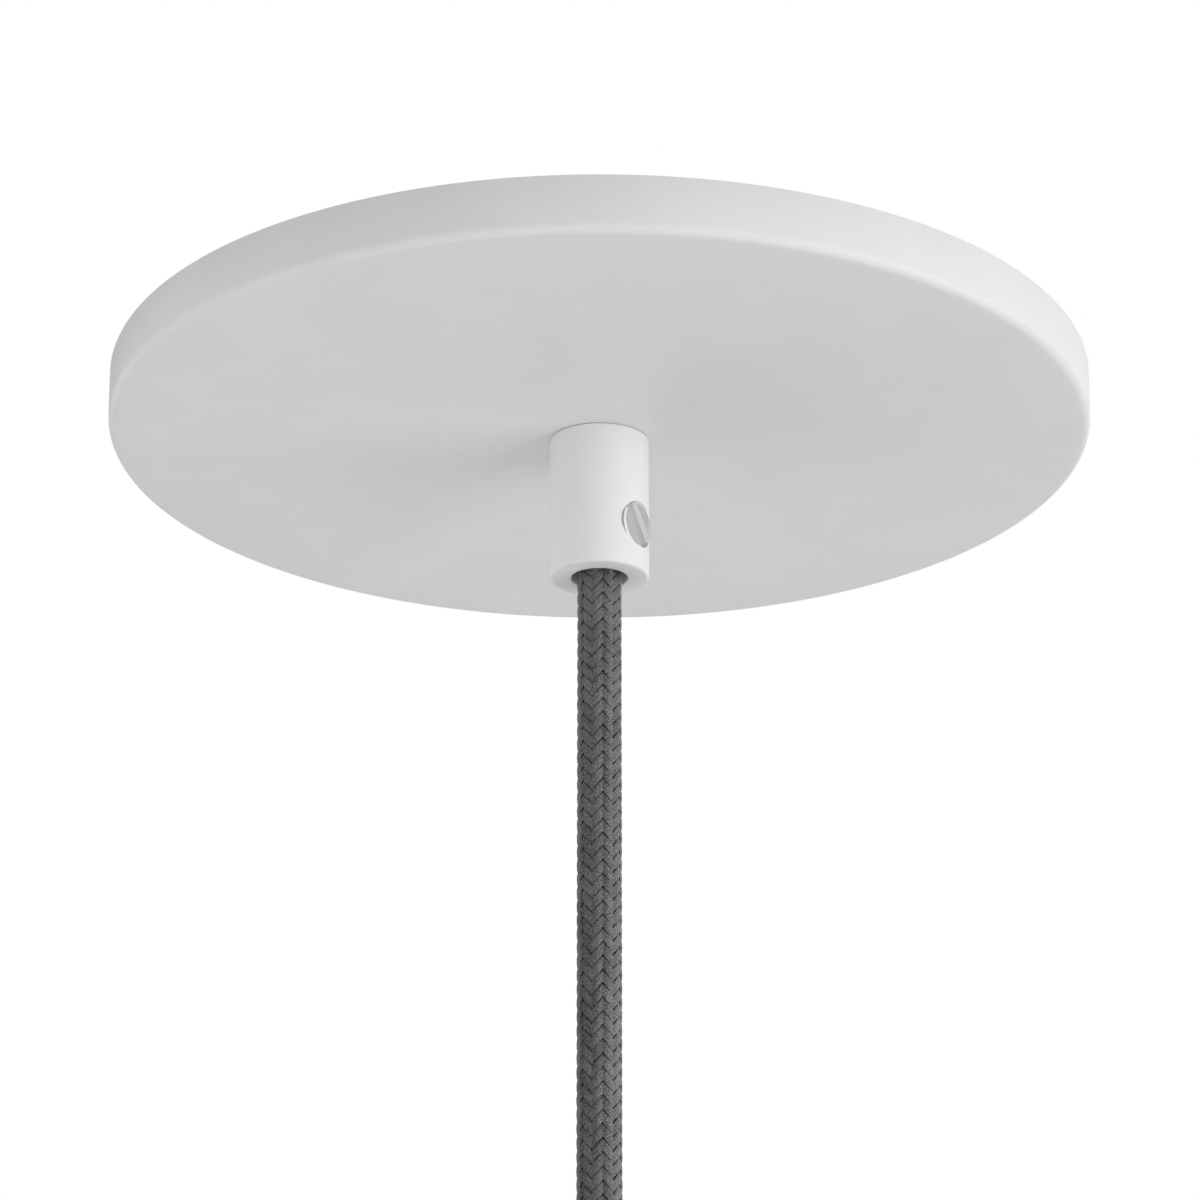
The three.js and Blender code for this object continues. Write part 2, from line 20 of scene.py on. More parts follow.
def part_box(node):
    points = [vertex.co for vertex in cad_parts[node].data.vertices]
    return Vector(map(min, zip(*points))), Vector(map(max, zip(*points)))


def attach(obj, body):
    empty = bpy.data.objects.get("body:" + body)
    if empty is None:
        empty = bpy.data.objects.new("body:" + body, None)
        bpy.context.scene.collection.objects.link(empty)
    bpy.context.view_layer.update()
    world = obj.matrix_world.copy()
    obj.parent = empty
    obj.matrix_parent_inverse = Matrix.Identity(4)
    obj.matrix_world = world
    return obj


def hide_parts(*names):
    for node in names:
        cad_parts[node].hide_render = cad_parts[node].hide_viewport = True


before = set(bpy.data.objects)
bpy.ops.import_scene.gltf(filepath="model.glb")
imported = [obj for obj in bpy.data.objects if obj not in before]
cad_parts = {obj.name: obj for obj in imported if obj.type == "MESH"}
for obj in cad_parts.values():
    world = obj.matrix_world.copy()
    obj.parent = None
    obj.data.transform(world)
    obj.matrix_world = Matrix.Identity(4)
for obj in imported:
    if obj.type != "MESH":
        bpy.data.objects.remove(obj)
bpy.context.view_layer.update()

LOG = logging.getLogger("canopy")
MM = 0.001
BODY = "root"
SMOOTH_ANGLE = math.radians(32)
CUT_OVERRUN = 4.0
# How close points merge, and how close to a cutting plane a point counts as on it
MERGE_DISTANCE = 0.0005 * MM
CUT_THRESHOLD = 0.0001 * MM
# How near a place a point has to be to be picked there, and a circle's extra share of its radius
NEAR = 0.01
RING_SLACK = 0.0008

# The cord's route in metres, the same points that the solid model's cord follows
CORD_ROUTE = [(0, 0, 0.0042)] + [(0, 0, round(0 - 0.008 * i, 3)) for i in range(15)]
# The distance of the cord's three cores from its axis
TRIAD = 1.275


class Pick(Enum):
    """What an edit-mode selection holds."""

    VERT = "VERT"
    EDGE = "EDGE"
    FACE = "FACE"


class Cut(Enum):
    """How a second solid changes the first one."""

    AWAY = "DIFFERENCE"
    JOIN = "UNION"
    KEEP = "INTERSECT"


Test = Callable[[list[Vector]], bool]


@dataclass(frozen=True)
class Extent:
    """The space of a solid of the frame, in millimetres."""

    low: Vector
    high: Vector

    @classmethod
    def of(cls, node: str) -> "Extent":
        """Reads a solid's space from the frame.

        Args:
            node: the solid's name.

        Returns:
            Its lowest and highest corners.
        """
        low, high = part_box(node)
        return cls(low / MM, high / MM)

    @property
    def radius(self) -> float:
        """Half of its width along X."""
        return (self.high.x - self.low.x) / 2

    @property
    def middle(self) -> Vector:
        """The point halfway between its corners."""
        return (self.low + self.high) / 2

    @property
    def height(self) -> float:
        """Its height along Z."""
        return self.high.z - self.low.z


def deselect() -> None:
    """Deselects every object."""
    for obj in bpy.context.selected_objects:
        obj.select_set(False)


def only(piece: bpy.types.Object) -> None:
    """Makes a piece the only selected object, and the active one.

    Args:
        piece: the piece to work on next.
    """
    deselect()
    piece.select_set(True)
    bpy.context.view_layer.objects.active = piece


class Shaping:
    """Edit mode on one mesh: picks points, edges or faces by their place, then works on them."""

    def __init__(self, piece: bpy.types.Object) -> None:
        """Keeps the piece that is shaped."""
        self.piece = piece

    def __enter__(self) -> "Shaping":
        """Goes into edit mode with nothing selected.

        Returns:
            This same object, to pick and shape with.
        """
        only(self.piece)
        bpy.ops.object.mode_set(mode="EDIT")
        bpy.ops.mesh.select_all(action="DESELECT")
        return self

    def __exit__(self, *failure: object) -> None:
        """Goes back to object mode."""
        bpy.ops.object.mode_set(mode="OBJECT")

    def pick(self, kind: Pick, test: Test) -> None:
        """Selects what passes a test, and nothing else.

        Args:
            kind: points, edges or faces.
            test: takes an item's corners in millimetres and says whether it is wanted.
        """
        bpy.ops.mesh.select_all(action="DESELECT")
        bpy.ops.mesh.select_mode(type=kind.value)
        mesh = bmesh.from_edit_mesh(self.piece.data)
        if kind is Pick.VERT:
            chosen = [v for v in mesh.verts if test([v.co / MM])]
        elif kind is Pick.EDGE:
            chosen = [e for e in mesh.edges if test([v.co / MM for v in e.verts])]
        else:
            chosen = [f for f in mesh.faces if test([v.co / MM for v in f.verts])]
        for item in chosen:
            item.select_set(True)
        bmesh.update_edit_mesh(self.piece.data)

    def inset(self, width: float) -> None:
        """Insets the picked faces by a width in millimetres."""
        bpy.ops.mesh.inset(thickness=width * MM, depth=0, use_even_offset=True)

    def extrude(self, x: float, y: float, z: float) -> None:
        """Extrudes what is picked by a step in millimetres."""
        step = {"value": (x * MM, y * MM, z * MM)}
        bpy.ops.mesh.extrude_region_move(TRANSFORM_OT_translate=step)

    def bevel(self, width: float, segments: int) -> None:
        """Rounds the picked edges.

        Args:
            width: how far the rounding reaches along each face, in millimetres.
            segments: how many faces make the rounding.
        """
        bpy.ops.mesh.bevel(
            offset=width * MM, segments=segments, profile=0.5, affect="EDGES", clamp_overlap=True
        )

    def round_ring(
        self,
        radius: float,
        height: float,
        width: float,
        segments: int,
        at: tuple[float, float] = (0, 0),
    ) -> None:
        """Rounds the edges on a circle about a vertical axis.

        Args:
            radius: the circle's radius.
            height: its height.
            width: how far the rounding reaches along each face.
            segments: how many faces make the rounding.
            at: the place of the circle's axis.
        """
        self.pick(Pick.EDGE, ring(radius, height, at))
        self.bevel(width, segments)

    def delete_faces(self) -> None:
        """Deletes the picked faces with the edges between them."""
        bpy.ops.mesh.delete(type="FACE")

    def bridge(self) -> None:
        """Joins the two picked rings of edges by a wall."""
        bpy.ops.mesh.bridge_edge_loops()

    def pierce(self, radius: float, hole: float, low: float, high: float) -> None:
        """Opens a round hole along the axis of an upright cylinder.

        Args:
            radius: the cylinder's radius.
            hole: the hole's radius.
            low: the height of the cylinder's lower end.
            high: the height of its upper end.
        """
        for height in (high, low):
            self.pick(Pick.FACE, level(height))
            self.inset(radius - hole)
            self.delete_faces()
        self.pick(Pick.EDGE, lambda points: ring(hole, low)(points) or ring(hole, high)(points))
        self.bridge()

    def widen(self, share: float) -> None:
        """Scales what is picked away from the vertical axis, or towards it."""
        bpy.ops.transform.resize(value=(share, share, 1), center_override=(0, 0, 0))

    def trim(self, low: float, high: float) -> None:
        """Cuts the mesh off flat below one height and above another, and closes both ends.

        Args:
            low: the lower height.
            high: the upper height.
        """
        for height, above in ((high, True), (low, False)):
            bpy.ops.mesh.select_all(action="SELECT")
            bpy.ops.mesh.bisect(
                plane_co=(0, 0, height * MM),
                plane_no=(0, 0, 1),
                threshold=CUT_THRESHOLD,
                use_fill=True,
                clear_outer=above,
                clear_inner=not above,
            )

    def outward(self) -> None:
        """Merges doubled points and turns every face outwards."""
        bpy.ops.mesh.select_all(action="SELECT")
        bpy.ops.mesh.remove_doubles(threshold=MERGE_DISTANCE)
        bpy.ops.mesh.normals_make_consistent(inside=False)


def ring(radius: float, height: float, at: tuple[float, float] = (0, 0)) -> Test:
    """A test for what lies on a circle about a vertical axis.

    Args:
        radius: the circle's radius.
        height: its height.
        at: the place of its axis.

    Returns:
        The test.
    """
    slack = NEAR + radius * RING_SLACK

    def on_ring(points: list[Vector]) -> bool:
        """Whether every corner is on the circle.

        Args:
            points: the corners of one item.

        Returns:
            True where all of them are on it.
        """
        return all(
            abs(math.hypot(p.x - at[0], p.y - at[1]) - radius) < slack and abs(p.z - height) < NEAR
            for p in points
        )

    return on_ring


def level(height: float) -> Test:
    """A test for what lies flat at a height."""
    return lambda points: all(abs(p.z - height) < NEAR for p in points)


def cylinder(
    name: str, radius: float, low: float, high: float, sides: int, at: tuple[float, float] = (0, 0)
) -> bpy.types.Object:
    """Adds an upright cylinder as the start of a piece.

    Args:
        name: the piece's name.
        radius: its radius.
        low: the height of its lower end.
        high: the height of its upper end.
        sides: how many sides it has.
        at: the place of its axis.

    Returns:
        The new object, with its place in its mesh.
    """
    deselect()
    bpy.ops.mesh.primitive_cylinder_add(
        vertices=sides,
        radius=radius * MM,
        depth=(high - low) * MM,
        end_fill_type="NGON",
        location=(at[0] * MM, at[1] * MM, (low + high) / 2 * MM),
    )
    return settle(name)


def block(name: str, low: Sequence[float], high: Sequence[float]) -> bpy.types.Object:
    """Adds a box as the start of a piece.

    Args:
        name: the piece's name.
        low: its lowest corner.
        high: its highest corner.

    Returns:
        The new object, with its place in its mesh.
    """
    deselect()
    middle = [(a + b) / 2 * MM for a, b in zip(low, high)]
    bpy.ops.mesh.primitive_cube_add(size=1, location=middle)
    bpy.context.object.scale = [(b - a) * MM for a, b in zip(low, high)]
    return settle(name)


def turned(name: str, outline: Sequence[tuple[float, float]], sides: int) -> bpy.types.Object:
    """Spins a closed outline about the vertical axis.

    Args:
        name: the piece's name.
        outline: radius and height of each corner, in order round the section.
        sides: how many steps the spin takes.

    Returns:
        The turned piece, a closed solid.
    """
    piece = start_outline(name, *outline[0])
    with Shaping(piece) as shaping:
        bpy.ops.mesh.select_mode(type=Pick.VERT.value)
        bpy.ops.mesh.select_all(action="SELECT")
        corners = list(outline) + [outline[0]]
        for (r0, z0), (r1, z1) in zip(corners, corners[1:]):
            shaping.extrude(r1 - r0, 0, z1 - z0)
        bpy.ops.mesh.select_all(action="SELECT")
        bpy.ops.mesh.remove_doubles(threshold=MERGE_DISTANCE)
        bpy.ops.mesh.select_all(action="SELECT")
        bpy.ops.mesh.spin(steps=sides, angle=math.tau, center=(0, 0, 0), axis=(0, 0, 1))
        shaping.outward()
    return piece


def settle(name: str) -> bpy.types.Object:
    """Names the newest object and moves its place, turn and scale into its mesh.

    Args:
        name: the object's name.

    Returns:
        The object, at the origin.
    """
    piece = bpy.context.object
    piece.name = name
    piece.data.name = name
    bpy.ops.object.transform_apply(location=True, rotation=True, scale=True)
    return piece


def start_outline(name: str, r: float, z: float) -> bpy.types.Object:
    """Adds a mesh of one point, from which an outline is drawn by extruding.

    Args:
        name: the piece's name.
        r: the point's distance from the vertical axis.
        z: its height.

    Returns:
        The new object.
    """
    deselect()
    bpy.ops.mesh.primitive_plane_add(size=MM, location=(0, 0, 0))
    piece = settle(name)
    with Shaping(piece):
        bpy.ops.mesh.select_all(action="SELECT")
        bpy.ops.mesh.merge(type="CENTER")
        bpy.ops.mesh.select_mode(type=Pick.VERT.value)
        bpy.ops.mesh.select_all(action="SELECT")
        bpy.ops.transform.translate(value=(r * MM, 0, z * MM))
    return piece


def moved(piece: bpy.types.Object, way: Matrix) -> bpy.types.Object:
    """Turns and moves the mesh of a piece, whose object stays at the origin.

    Args:
        piece: the piece.
        way: the turn, and the step in metres.

    Returns:
        The piece.
    """
    piece.data.transform(way)
    return piece


def step(x: float, y: float, z: float) -> Matrix:
    """A step in millimetres, as a matrix in metres."""
    return Matrix.Translation(Vector((x, y, z)) * MM)


def turn(degrees: float, axis: str) -> Matrix:
    """A turn about one of the axes."""
    return Matrix.Rotation(math.radians(degrees), 4, axis)


def copied(piece: bpy.types.Object, name: str, way: Matrix) -> bpy.types.Object:
    """Makes another piece of the same shape, with a mesh of its own.

    Args:
        piece: the piece that is copied.
        name: the copy's name.
        way: the copy's turn and step from the first piece, in metres.

    Returns:
        The copy.
    """
    other = piece.copy()
    other.data = piece.data.copy()
    other.name = name
    other.data.name = name
    bpy.context.scene.collection.objects.link(other)
    return moved(other, way)


def remove(piece: bpy.types.Object) -> None:
    """Removes a piece together with its mesh.

    Args:
        piece: the piece.
    """
    mesh = piece.data
    bpy.data.objects.remove(piece)
    bpy.data.meshes.remove(mesh)


def combine(piece: bpy.types.Object, other: bpy.types.Object, how: Cut) -> None:
    """Changes a piece by a second solid, and removes that solid.

    Args:
        piece: the piece that stays.
        other: the solid that cuts it, joins it or bounds it.
        how: which of these it does.
    """
    modifier = piece.modifiers.new("cut", "BOOLEAN")
    modifier.operation = how.value
    modifier.solver = "EXACT"
    modifier.object = other
    only(piece)
    bpy.ops.object.modifier_apply(modifier=modifier.name)
    remove(other)


def drill(
    piece: bpy.types.Object,
    radius: float,
    low: float,
    high: float,
    sides: int,
    at: tuple[float, float] = (0, 0),
) -> None:
    """Cuts an upright round hole in a piece.

    Args:
        piece: the piece.
        radius: the hole's radius.
        low: the height where it starts.
        high: the height where it ends.
        sides: how many sides it has.
        at: the place of its axis.
    """
    combine(piece, cylinder("hole", radius, low, high, sides, at), Cut.AWAY)


def round_edges(piece: bpy.types.Object, width: float, segments: int, angle: float = 40) -> None:
    """Rounds every edge of a piece that is sharper than an angle.

    Args:
        piece: the piece.
        width: how far the rounding reaches, in millimetres.
        segments: how many faces make it.
        angle: the least turn between two faces that gets it, in degrees.
    """
    modifier = piece.modifiers.new("edges", "BEVEL")
    modifier.width = width * MM
    modifier.segments = segments
    modifier.limit_method = "ANGLE"
    modifier.angle_limit = math.radians(angle)
    modifier.harden_normals = False
    only(piece)
    bpy.ops.object.modifier_apply(modifier=modifier.name)


def feed(
    tree: bpy.types.NodeTree, node: bpy.types.Node, values: dict | None, sources: dict | None
) -> None:
    """Fills a node's sockets.

    Args:
        tree: the node's tree.
        node: the node.
        values: socket name or number, and the value that it holds.
        sources: socket name or number, and the output that feeds it.
    """
    for socket, value in (values or {}).items():
        node.inputs[socket].default_value = value
    for socket, source in (sources or {}).items():
        tree.links.new(source, node.inputs[socket])


def add_node(
    tree: bpy.types.NodeTree,
    kind: str,
    values: dict | None = None,
    sources: dict | None = None,
    **settings: object,
) -> bpy.types.Node:
    """Adds a shader node with its settings and its links.

    Args:
        tree: the material's or world's node tree.
        kind: the node's type.
        values: socket name or number, and the value that it holds.
        sources: socket name or number, and the output that feeds it.
        settings: the node's own properties.

    Returns:
        The node.
    """
    node = tree.nodes.new(kind)
    for name, value in settings.items():
        setattr(node, name, value)
    feed(tree, node, values, sources)
    return node


def maths(
    tree: bpy.types.NodeTree, operation: str, values: dict, sources: dict
) -> bpy.types.NodeSocket:
    """Adds a calculation.

    Args:
        tree: the node tree.
        operation: its kind.
        values: the sockets that hold a number.
        sources: the sockets that are fed.

    Returns:
        Its result.
    """
    return add_node(tree, "ShaderNodeMath", values, sources, operation=operation).outputs["Value"]


def rescaled(
    tree: bpy.types.NodeTree,
    source: bpy.types.NodeSocket,
    span: tuple[float, float],
    ends: tuple[float, float] = (0.0, 1.0),
) -> bpy.types.NodeSocket:
    """Brings a value from one range to another, and keeps it in the second.

    Args:
        tree: the node tree.
        source: the value.
        span: the range that it has.
        ends: the range that it gets.

    Returns:
        The new value.
    """
    values = {1: span[0], 2: span[1], 3: ends[0], 4: ends[1]}
    return add_node(tree, "ShaderNodeMapRange", values, {0: source}).outputs["Result"]


def noise(
    tree: bpy.types.NodeTree,
    place: bpy.types.NodeSocket,
    size: Sequence[float],
    values: dict,
    **settings: object,
) -> bpy.types.NodeSocket:
    """Adds a noise over a map.

    Args:
        tree: the node tree.
        place: the map.
        size: how many spots there are in a unit of each direction.
        values: the noise's own sockets.
        settings: its properties.

    Returns:
        The noise, from 0 to 1.
    """
    mapped = add_node(tree, "ShaderNodeMapping", {"Scale": size}, {"Vector": place})
    return add_node(
        tree,
        "ShaderNodeTexNoise",
        {"Scale": 1.0, **values},
        {"Vector": mapped.outputs["Vector"]},
        **settings,
    ).outputs["Fac"]


def linear(colour: str, alpha: float = 1.0) -> tuple[float, float, float, float]:
    """Turns a colour written as sRGB hex into linear light.

    Args:
        colour: six hex digits.
        alpha: the fourth number.

    Returns:
        Red, green, blue and alpha.
    """
    shares = [int(colour[i : i + 2], 16) / 255 for i in (0, 2, 4)]
    red, green, blue = (s / 12.92 if s <= 0.04045 else ((s + 0.055) / 1.055) ** 2.4 for s in shares)
    return red, green, blue, alpha


def toned(
    tree: bpy.types.NodeTree, share: bpy.types.NodeSocket, colours: tuple[str, str]
) -> bpy.types.NodeSocket:
    """Adds a ramp from one colour to another.

    Args:
        tree: the node tree.
        share: where on the ramp each place is, from 0 to 1.
        colours: the two colours as sRGB hex.

    Returns:
        The colour.
    """
    node = add_node(tree, "ShaderNodeValToRGB", sources={"Fac": share})
    for element, colour in zip(node.color_ramp.elements, colours):
        element.color = linear(colour)
    return node.outputs["Color"]


def raised(
    tree: bpy.types.NodeTree, height: bpy.types.NodeSocket, relief: float
) -> bpy.types.NodeSocket:
    """Adds a relief.

    Args:
        tree: the node tree.
        height: its height at each place, from 0 to 1.
        relief: how high that is at most, in millimetres.

    Returns:
        The normal.
    """
    values, sources = {"Distance": relief * MM}, {"Height": height}
    return add_node(tree, "ShaderNodeBump", values, sources).outputs["Normal"]


def new_material(name: str) -> tuple[bpy.types.Material, bpy.types.NodeTree, bpy.types.Node]:
    """Starts a material.

    Args:
        name: what the real material is.

    Returns:
        The material, its node tree and its surface shader.
    """
    material = bpy.data.materials.new(name)
    material.use_nodes = True
    tree = material.node_tree
    tree.nodes.clear()
    surface = add_node(tree, "ShaderNodeBsdfPrincipled")
    add_node(tree, "ShaderNodeOutputMaterial", sources={"Surface": surface.outputs["BSDF"]})
    return material, tree, surface


class Finish:
    """A surface whose material is built once and then shared."""

    name: str

    def material(self) -> bpy.types.Material:
        """Builds the material the first time, and hands out the same one after that.

        Returns:
            The material.
        """
        made = bpy.data.materials.get(self.name)
        return made if made else self.make()

    def make(self) -> bpy.types.Material:
        """Builds the material. Each kind of finish has its own nodes."""
        raise NotImplementedError


@dataclass(frozen=True)
class Grained(Finish):
    """A finish with a fine random grain in its colour, gloss and relief, and broad tonal patches."""

    name: str
    colours: tuple[str, str]
    roughness: tuple[float, float]
    grain: float
    relief: float
    patch: float = 14.0
    stretch: tuple[float, float, float] = (1.0, 1.0, 1.0)
    metallic: float = 0.0
    ior: float = 1.5
    specular: float = 0.5
    transmission: float = 0.0
    coat: float = 0.0
    detail: tuple[float, float] = (3.0, 2.0)
    grain_roughness: float = 0.55
    patch_weight: float = 0.5
    tone_span: tuple[float, float] = (0.5, 1.0)
    gloss_span: tuple[float, float] = (0.3, 0.7)

    def make(self) -> bpy.types.Material:
        """Builds the material's nodes.

        Returns:
            The new material.
        """
        material, tree, surface = new_material(self.name)
        place = add_node(tree, "ShaderNodeTexCoord").outputs["Object"]
        size = [share / (self.grain * MM) for share in self.stretch]
        fine_values = {"Detail": self.detail[0], "Roughness": self.grain_roughness}
        fine = noise(tree, place, size, fine_values)
        broad = add_node(
            tree,
            "ShaderNodeTexNoise",
            {"Scale": 1 / (self.patch * MM), "Detail": self.detail[1]},
            {"Vector": place},
        ).outputs["Fac"]
        mixed = maths(tree, "MULTIPLY_ADD", {1: self.patch_weight}, {0: fine, 2: broad})
        values = {
            "Metallic": self.metallic,
            "IOR": self.ior,
            "Specular IOR Level": self.specular,
            "Transmission Weight": self.transmission,
            "Coat Weight": self.coat,
        }
        sources = {
            "Base Color": toned(tree, rescaled(tree, mixed, self.tone_span), self.colours),
            "Roughness": rescaled(tree, fine, self.gloss_span, self.roughness),
            "Normal": raised(tree, fine, self.relief),
        }
        feed(tree, surface, values, sources)
        return material


@dataclass(frozen=True)
class StripedSheath(Finish):
    """Extruded PVC in two colours, in stripes that run along a wire that hangs down."""

    name: str
    colours: tuple[str, str]
    stripes: int = 2
    stripe_span: tuple[float, float] = (0.15, 0.25)
    roughness: float = 0.42

    def make(self) -> bpy.types.Material:
        """Builds the material's nodes. The wire's own UV map turns once round it along U.

        Returns:
            The new material.
        """
        material, tree, surface = new_material(self.name)
        place = add_node(tree, "ShaderNodeUVMap", uv_map="wire").outputs["UV"]
        across = add_node(tree, "ShaderNodeSeparateXYZ", sources={"Vector": place}).outputs["X"]
        round_it = maths(tree, "MULTIPLY", {1: math.tau * self.stripes}, {0: across})
        share = rescaled(tree, maths(tree, "COSINE", {}, {0: round_it}), self.stripe_span)
        colour = toned(tree, share, self.colours)
        feed(tree, surface, {"Roughness": self.roughness}, {"Base Color": colour})
        return material


@dataclass(frozen=True)
class BraidedYarn(Finish):
    """Textured polyester yarn laid in flat strands of a few threads, slightly fuzzy and speckled, with
    painted shade in the grooves between threads.
    """

    name: str
    colours: tuple[str, str]
    threads: float = 7.0
    speck_across: float = 4.6
    speck_along: float = 0.24
    # How much the grooves between threads sink and darken: the darkening is painted shade
    strand_spots: tuple[float, float] = (0.37, 0.11)
    groove_relief_and_shade: float = -0.16
    strand_weight: float = 0.5
    tone_span: tuple[float, float] = (0.54, 0.98)
    roughness: float = 0.35
    relief: float = 0.13
    ior: float = 1.57

    def make(self) -> bpy.types.Material:
        """Builds the yarn. U counts the strands and runs round each, V is millimetres along it.

        Returns:
            The material.
        """
        material, tree, surface = new_material(self.name)
        place = add_node(tree, "ShaderNodeUVMap", uv_map="yarn").outputs["UV"]
        across = add_node(tree, "ShaderNodeSeparateXYZ", sources={"Vector": place}).outputs["X"]
        round_it = maths(tree, "MULTIPLY", {1: math.tau * self.threads}, {0: across})
        groove = maths(tree, "COSINE", {}, {0: round_it})
        speck = self.spots(tree, place, (self.speck_across, 1 / self.speck_along), 2.0)
        strand = self.spots(tree, place, self.strand_spots, 1.0)
        # Lower in the grooves between threads: this sinks the relief and darkens the colour, a painted
        # shade in the grooves
        threads = maths(tree, "MULTIPLY_ADD", {1: self.groove_relief_and_shade}, {0: groove, 2: speck})
        mixed = maths(tree, "MULTIPLY_ADD", {1: self.strand_weight}, {0: strand, 2: threads})
        values = {"Roughness": self.roughness, "IOR": self.ior, "Specular IOR Level": 1.0}
        sources = {
            "Base Color": toned(tree, rescaled(tree, mixed, self.tone_span), self.colours),
            "Normal": raised(tree, threads, self.relief),
        }
        feed(tree, surface, values, sources)
        return material

    def spots(
        self,
        tree: bpy.types.NodeTree,
        place: bpy.types.NodeSocket,
        size: tuple[float, float],
        detail: float,
    ) -> bpy.types.NodeSocket:
        """Adds a flat noise over the yarn's own map.

        Args:
            tree: the material's node tree.
            place: the map.
            size: how many spots there are in a unit of U and of V.
            detail: how fine the noise goes.

        Returns:
            The noise, from 0 to 1.
        """
        values = {"Detail": detail, "Roughness": 0.65, "Distortion": 0.25}
        return noise(tree, place, (*size, 1.0), values, noise_dimensions="2D")


# Satin powder coat on pressed steel: an even white with hardly any orange peel
POWDER_COAT = Grained(
    "powder_coat_on_steel", ("ececec", "f0f0f0"), (0.44, 0.52), grain=0.45, relief=0.0025
)
# Injection-moulded polyamide: slightly cool white, from a mould with a fine eroded texture
POLYAMIDE = Grained(
    "moulded_polyamide", ("eeefef", "f2f2f3"), (0.42, 0.52), grain=0.25, relief=0.002, ior=1.53
)
# Clear nylon, moulded and glossy: a slightly milky, bright plastic that shows its back edges
CLEAR_NYLON = Grained(
    "clear_nylon", ("f2f4f4", "fafbfb"), (0.1, 0.18), grain=0.5, relief=0.001, ior=1.53,
    transmission=0.25, coat=1.0,
)
# Painted highlight: the rim, the edges and the slot walls at the clear screw's end get this near-white
# copy of the nylon, which stands in for the light that they catch
NYLON_PAINTED_HIGHLIGHT = Grained(
    "clear_nylon_painted_highlight", ("fafbfb", "ffffff"), (0.15, 0.25), grain=0.5, relief=0.001, ior=1.53
)
# Zinc plate on drawn steel: grey and satin, with faint marks along the draw
ZINC_PLATE = Grained(
    "zinc_plated_steel", ("b0b2b5", "c4c6c9"), (0.3, 0.42), grain=0.9, relief=0.0015,
    stretch=(1.0, 1.0, 0.12), metallic=1.0, patch=9.0,
)
# Zinc plate on small turned parts: brighter, with turning marks round them
ZINC_SCREW = Grained(
    "zinc_plated_screw", ("b8babc", "cdcfd1"), (0.24, 0.34), grain=0.3, relief=0.0005,
    stretch=(0.4, 0.4, 2.0), metallic=1.0, patch=3.0,
)
# Plain turned brass: warm and satin
BRASS = Grained(
    "turned_brass", ("b8904a", "d9b56c"), (0.24, 0.38), grain=0.3, relief=0.0008,
    stretch=(1.0, 3.0, 1.0), metallic=1.0, patch=3.0,
)
# Moulded rubber: nearly black and matt
RUBBER = Grained(
    "moulded_rubber", ("1b1c1d", "2a2b2c"), (0.62, 0.8), grain=0.3, relief=0.01, patch=5.0
)
# Tinned copper: pale and satin, slightly warm
TINNED_COPPER = Grained(
    "tinned_copper", ("bdbcb7", "d6d5d0"), (0.24, 0.4), grain=0.25, relief=0.002,
    metallic=1.0, patch=2.0,
)
# Extruded PVC: smooth, evenly coloured insulation
BROWN_PVC = Grained("brown_pvc", ("4a2a19", "5e3722"), (0.36, 0.46), grain=0.4, relief=0.001, patch=4.0)
BLUE_PVC = Grained("blue_pvc", ("1f4f96", "2f64b0"), (0.36, 0.46), grain=0.4, relief=0.001, patch=4.0)
EARTH_PVC = StripedSheath("green_and_yellow_pvc", ("3f8f3a", "dcc62e"))
# Polyester yarn in two close greys, braided over the cord
YARN = BraidedYarn("braided_polyester_yarn", ("060608", "707073"))
# Dark PVC jacket under the braid, seen only in its gaps
JACKET = Grained("pvc_jacket", ("1d1d1e", "262627"), (0.6, 0.7), grain=0.4, relief=0.001)


@dataclass(frozen=True)
class Core:
    """One of the cord's three conductors: its bearing in the cord, its pole and its surface."""

    name: str
    bearing: float
    pole: float
    finish: Finish
    slot: str

    def place(self) -> tuple[float, float]:
        """Its place in the cord's section."""
        turned_to = math.radians(self.bearing)
        return TRIAD * math.cos(turned_to), TRIAD * math.sin(turned_to)


CORES = (
    Core("brown", 210, -10, BROWN_PVC, "brown_sheath"),
    Core("earth", 90, 10, EARTH_PVC, "earth_sheath"),
    Core("blue", 330, 0, BLUE_PVC, "blue_sheath"),
)


def dress(piece: bpy.types.Object, finish: Finish, slot: str, *nodes: str) -> bpy.types.Object:
    """Gives a finished piece its surface, and says which solids it stands for.

    Args:
        piece: the piece.
        finish: its surface.
        slot: a material slot's name; not used.
        nodes: the solids that it stands for.

    Returns:
        The piece.
    """
    piece.data.materials.clear()
    piece.data.materials.append(finish.material())
    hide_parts(*nodes)
    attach(piece, BODY)
    LOG.info("%s: %d faces, stands for %s", piece.name, len(piece.data.polygons), ", ".join(nodes))
    return piece


def smooth(piece: bpy.types.Object) -> None:
    """Shades a piece smooth, apart from its sharp edges."""
    only(piece)
    bpy.ops.object.shade_smooth_by_angle(angle=SMOOTH_ANGLE)


@dataclass
class PhotoCamera:
    """The camera, below the ceiling and in front of the part."""

    elevation: float = -21.54
    distance: float = 631.0
    aim_height: float = -27.8
    sideways: float = 0.07
    focal_length: float = 156.3
    sensor: float = 36.0
    clip: tuple[float, float] = (0.01, 50.0)

    def build(self) -> None:
        """Adds the camera and makes it the scene's."""
        camera = bpy.data.cameras.new("camera")
        camera.lens = self.focal_length
        camera.sensor_width = self.sensor
        camera.clip_start, camera.clip_end = self.clip
        holder = bpy.data.objects.new("camera", camera)
        rise = math.radians(self.elevation)
        back = Vector((0, -math.cos(rise), math.sin(rise)))
        aim = Vector((self.sideways, 0, self.aim_height))
        holder.location = (aim + back * self.distance) * MM
        holder.rotation_euler = (-back).to_track_quat("-Z", "Y").to_euler()
        bpy.context.scene.collection.objects.link(holder)
        bpy.context.scene.camera = holder


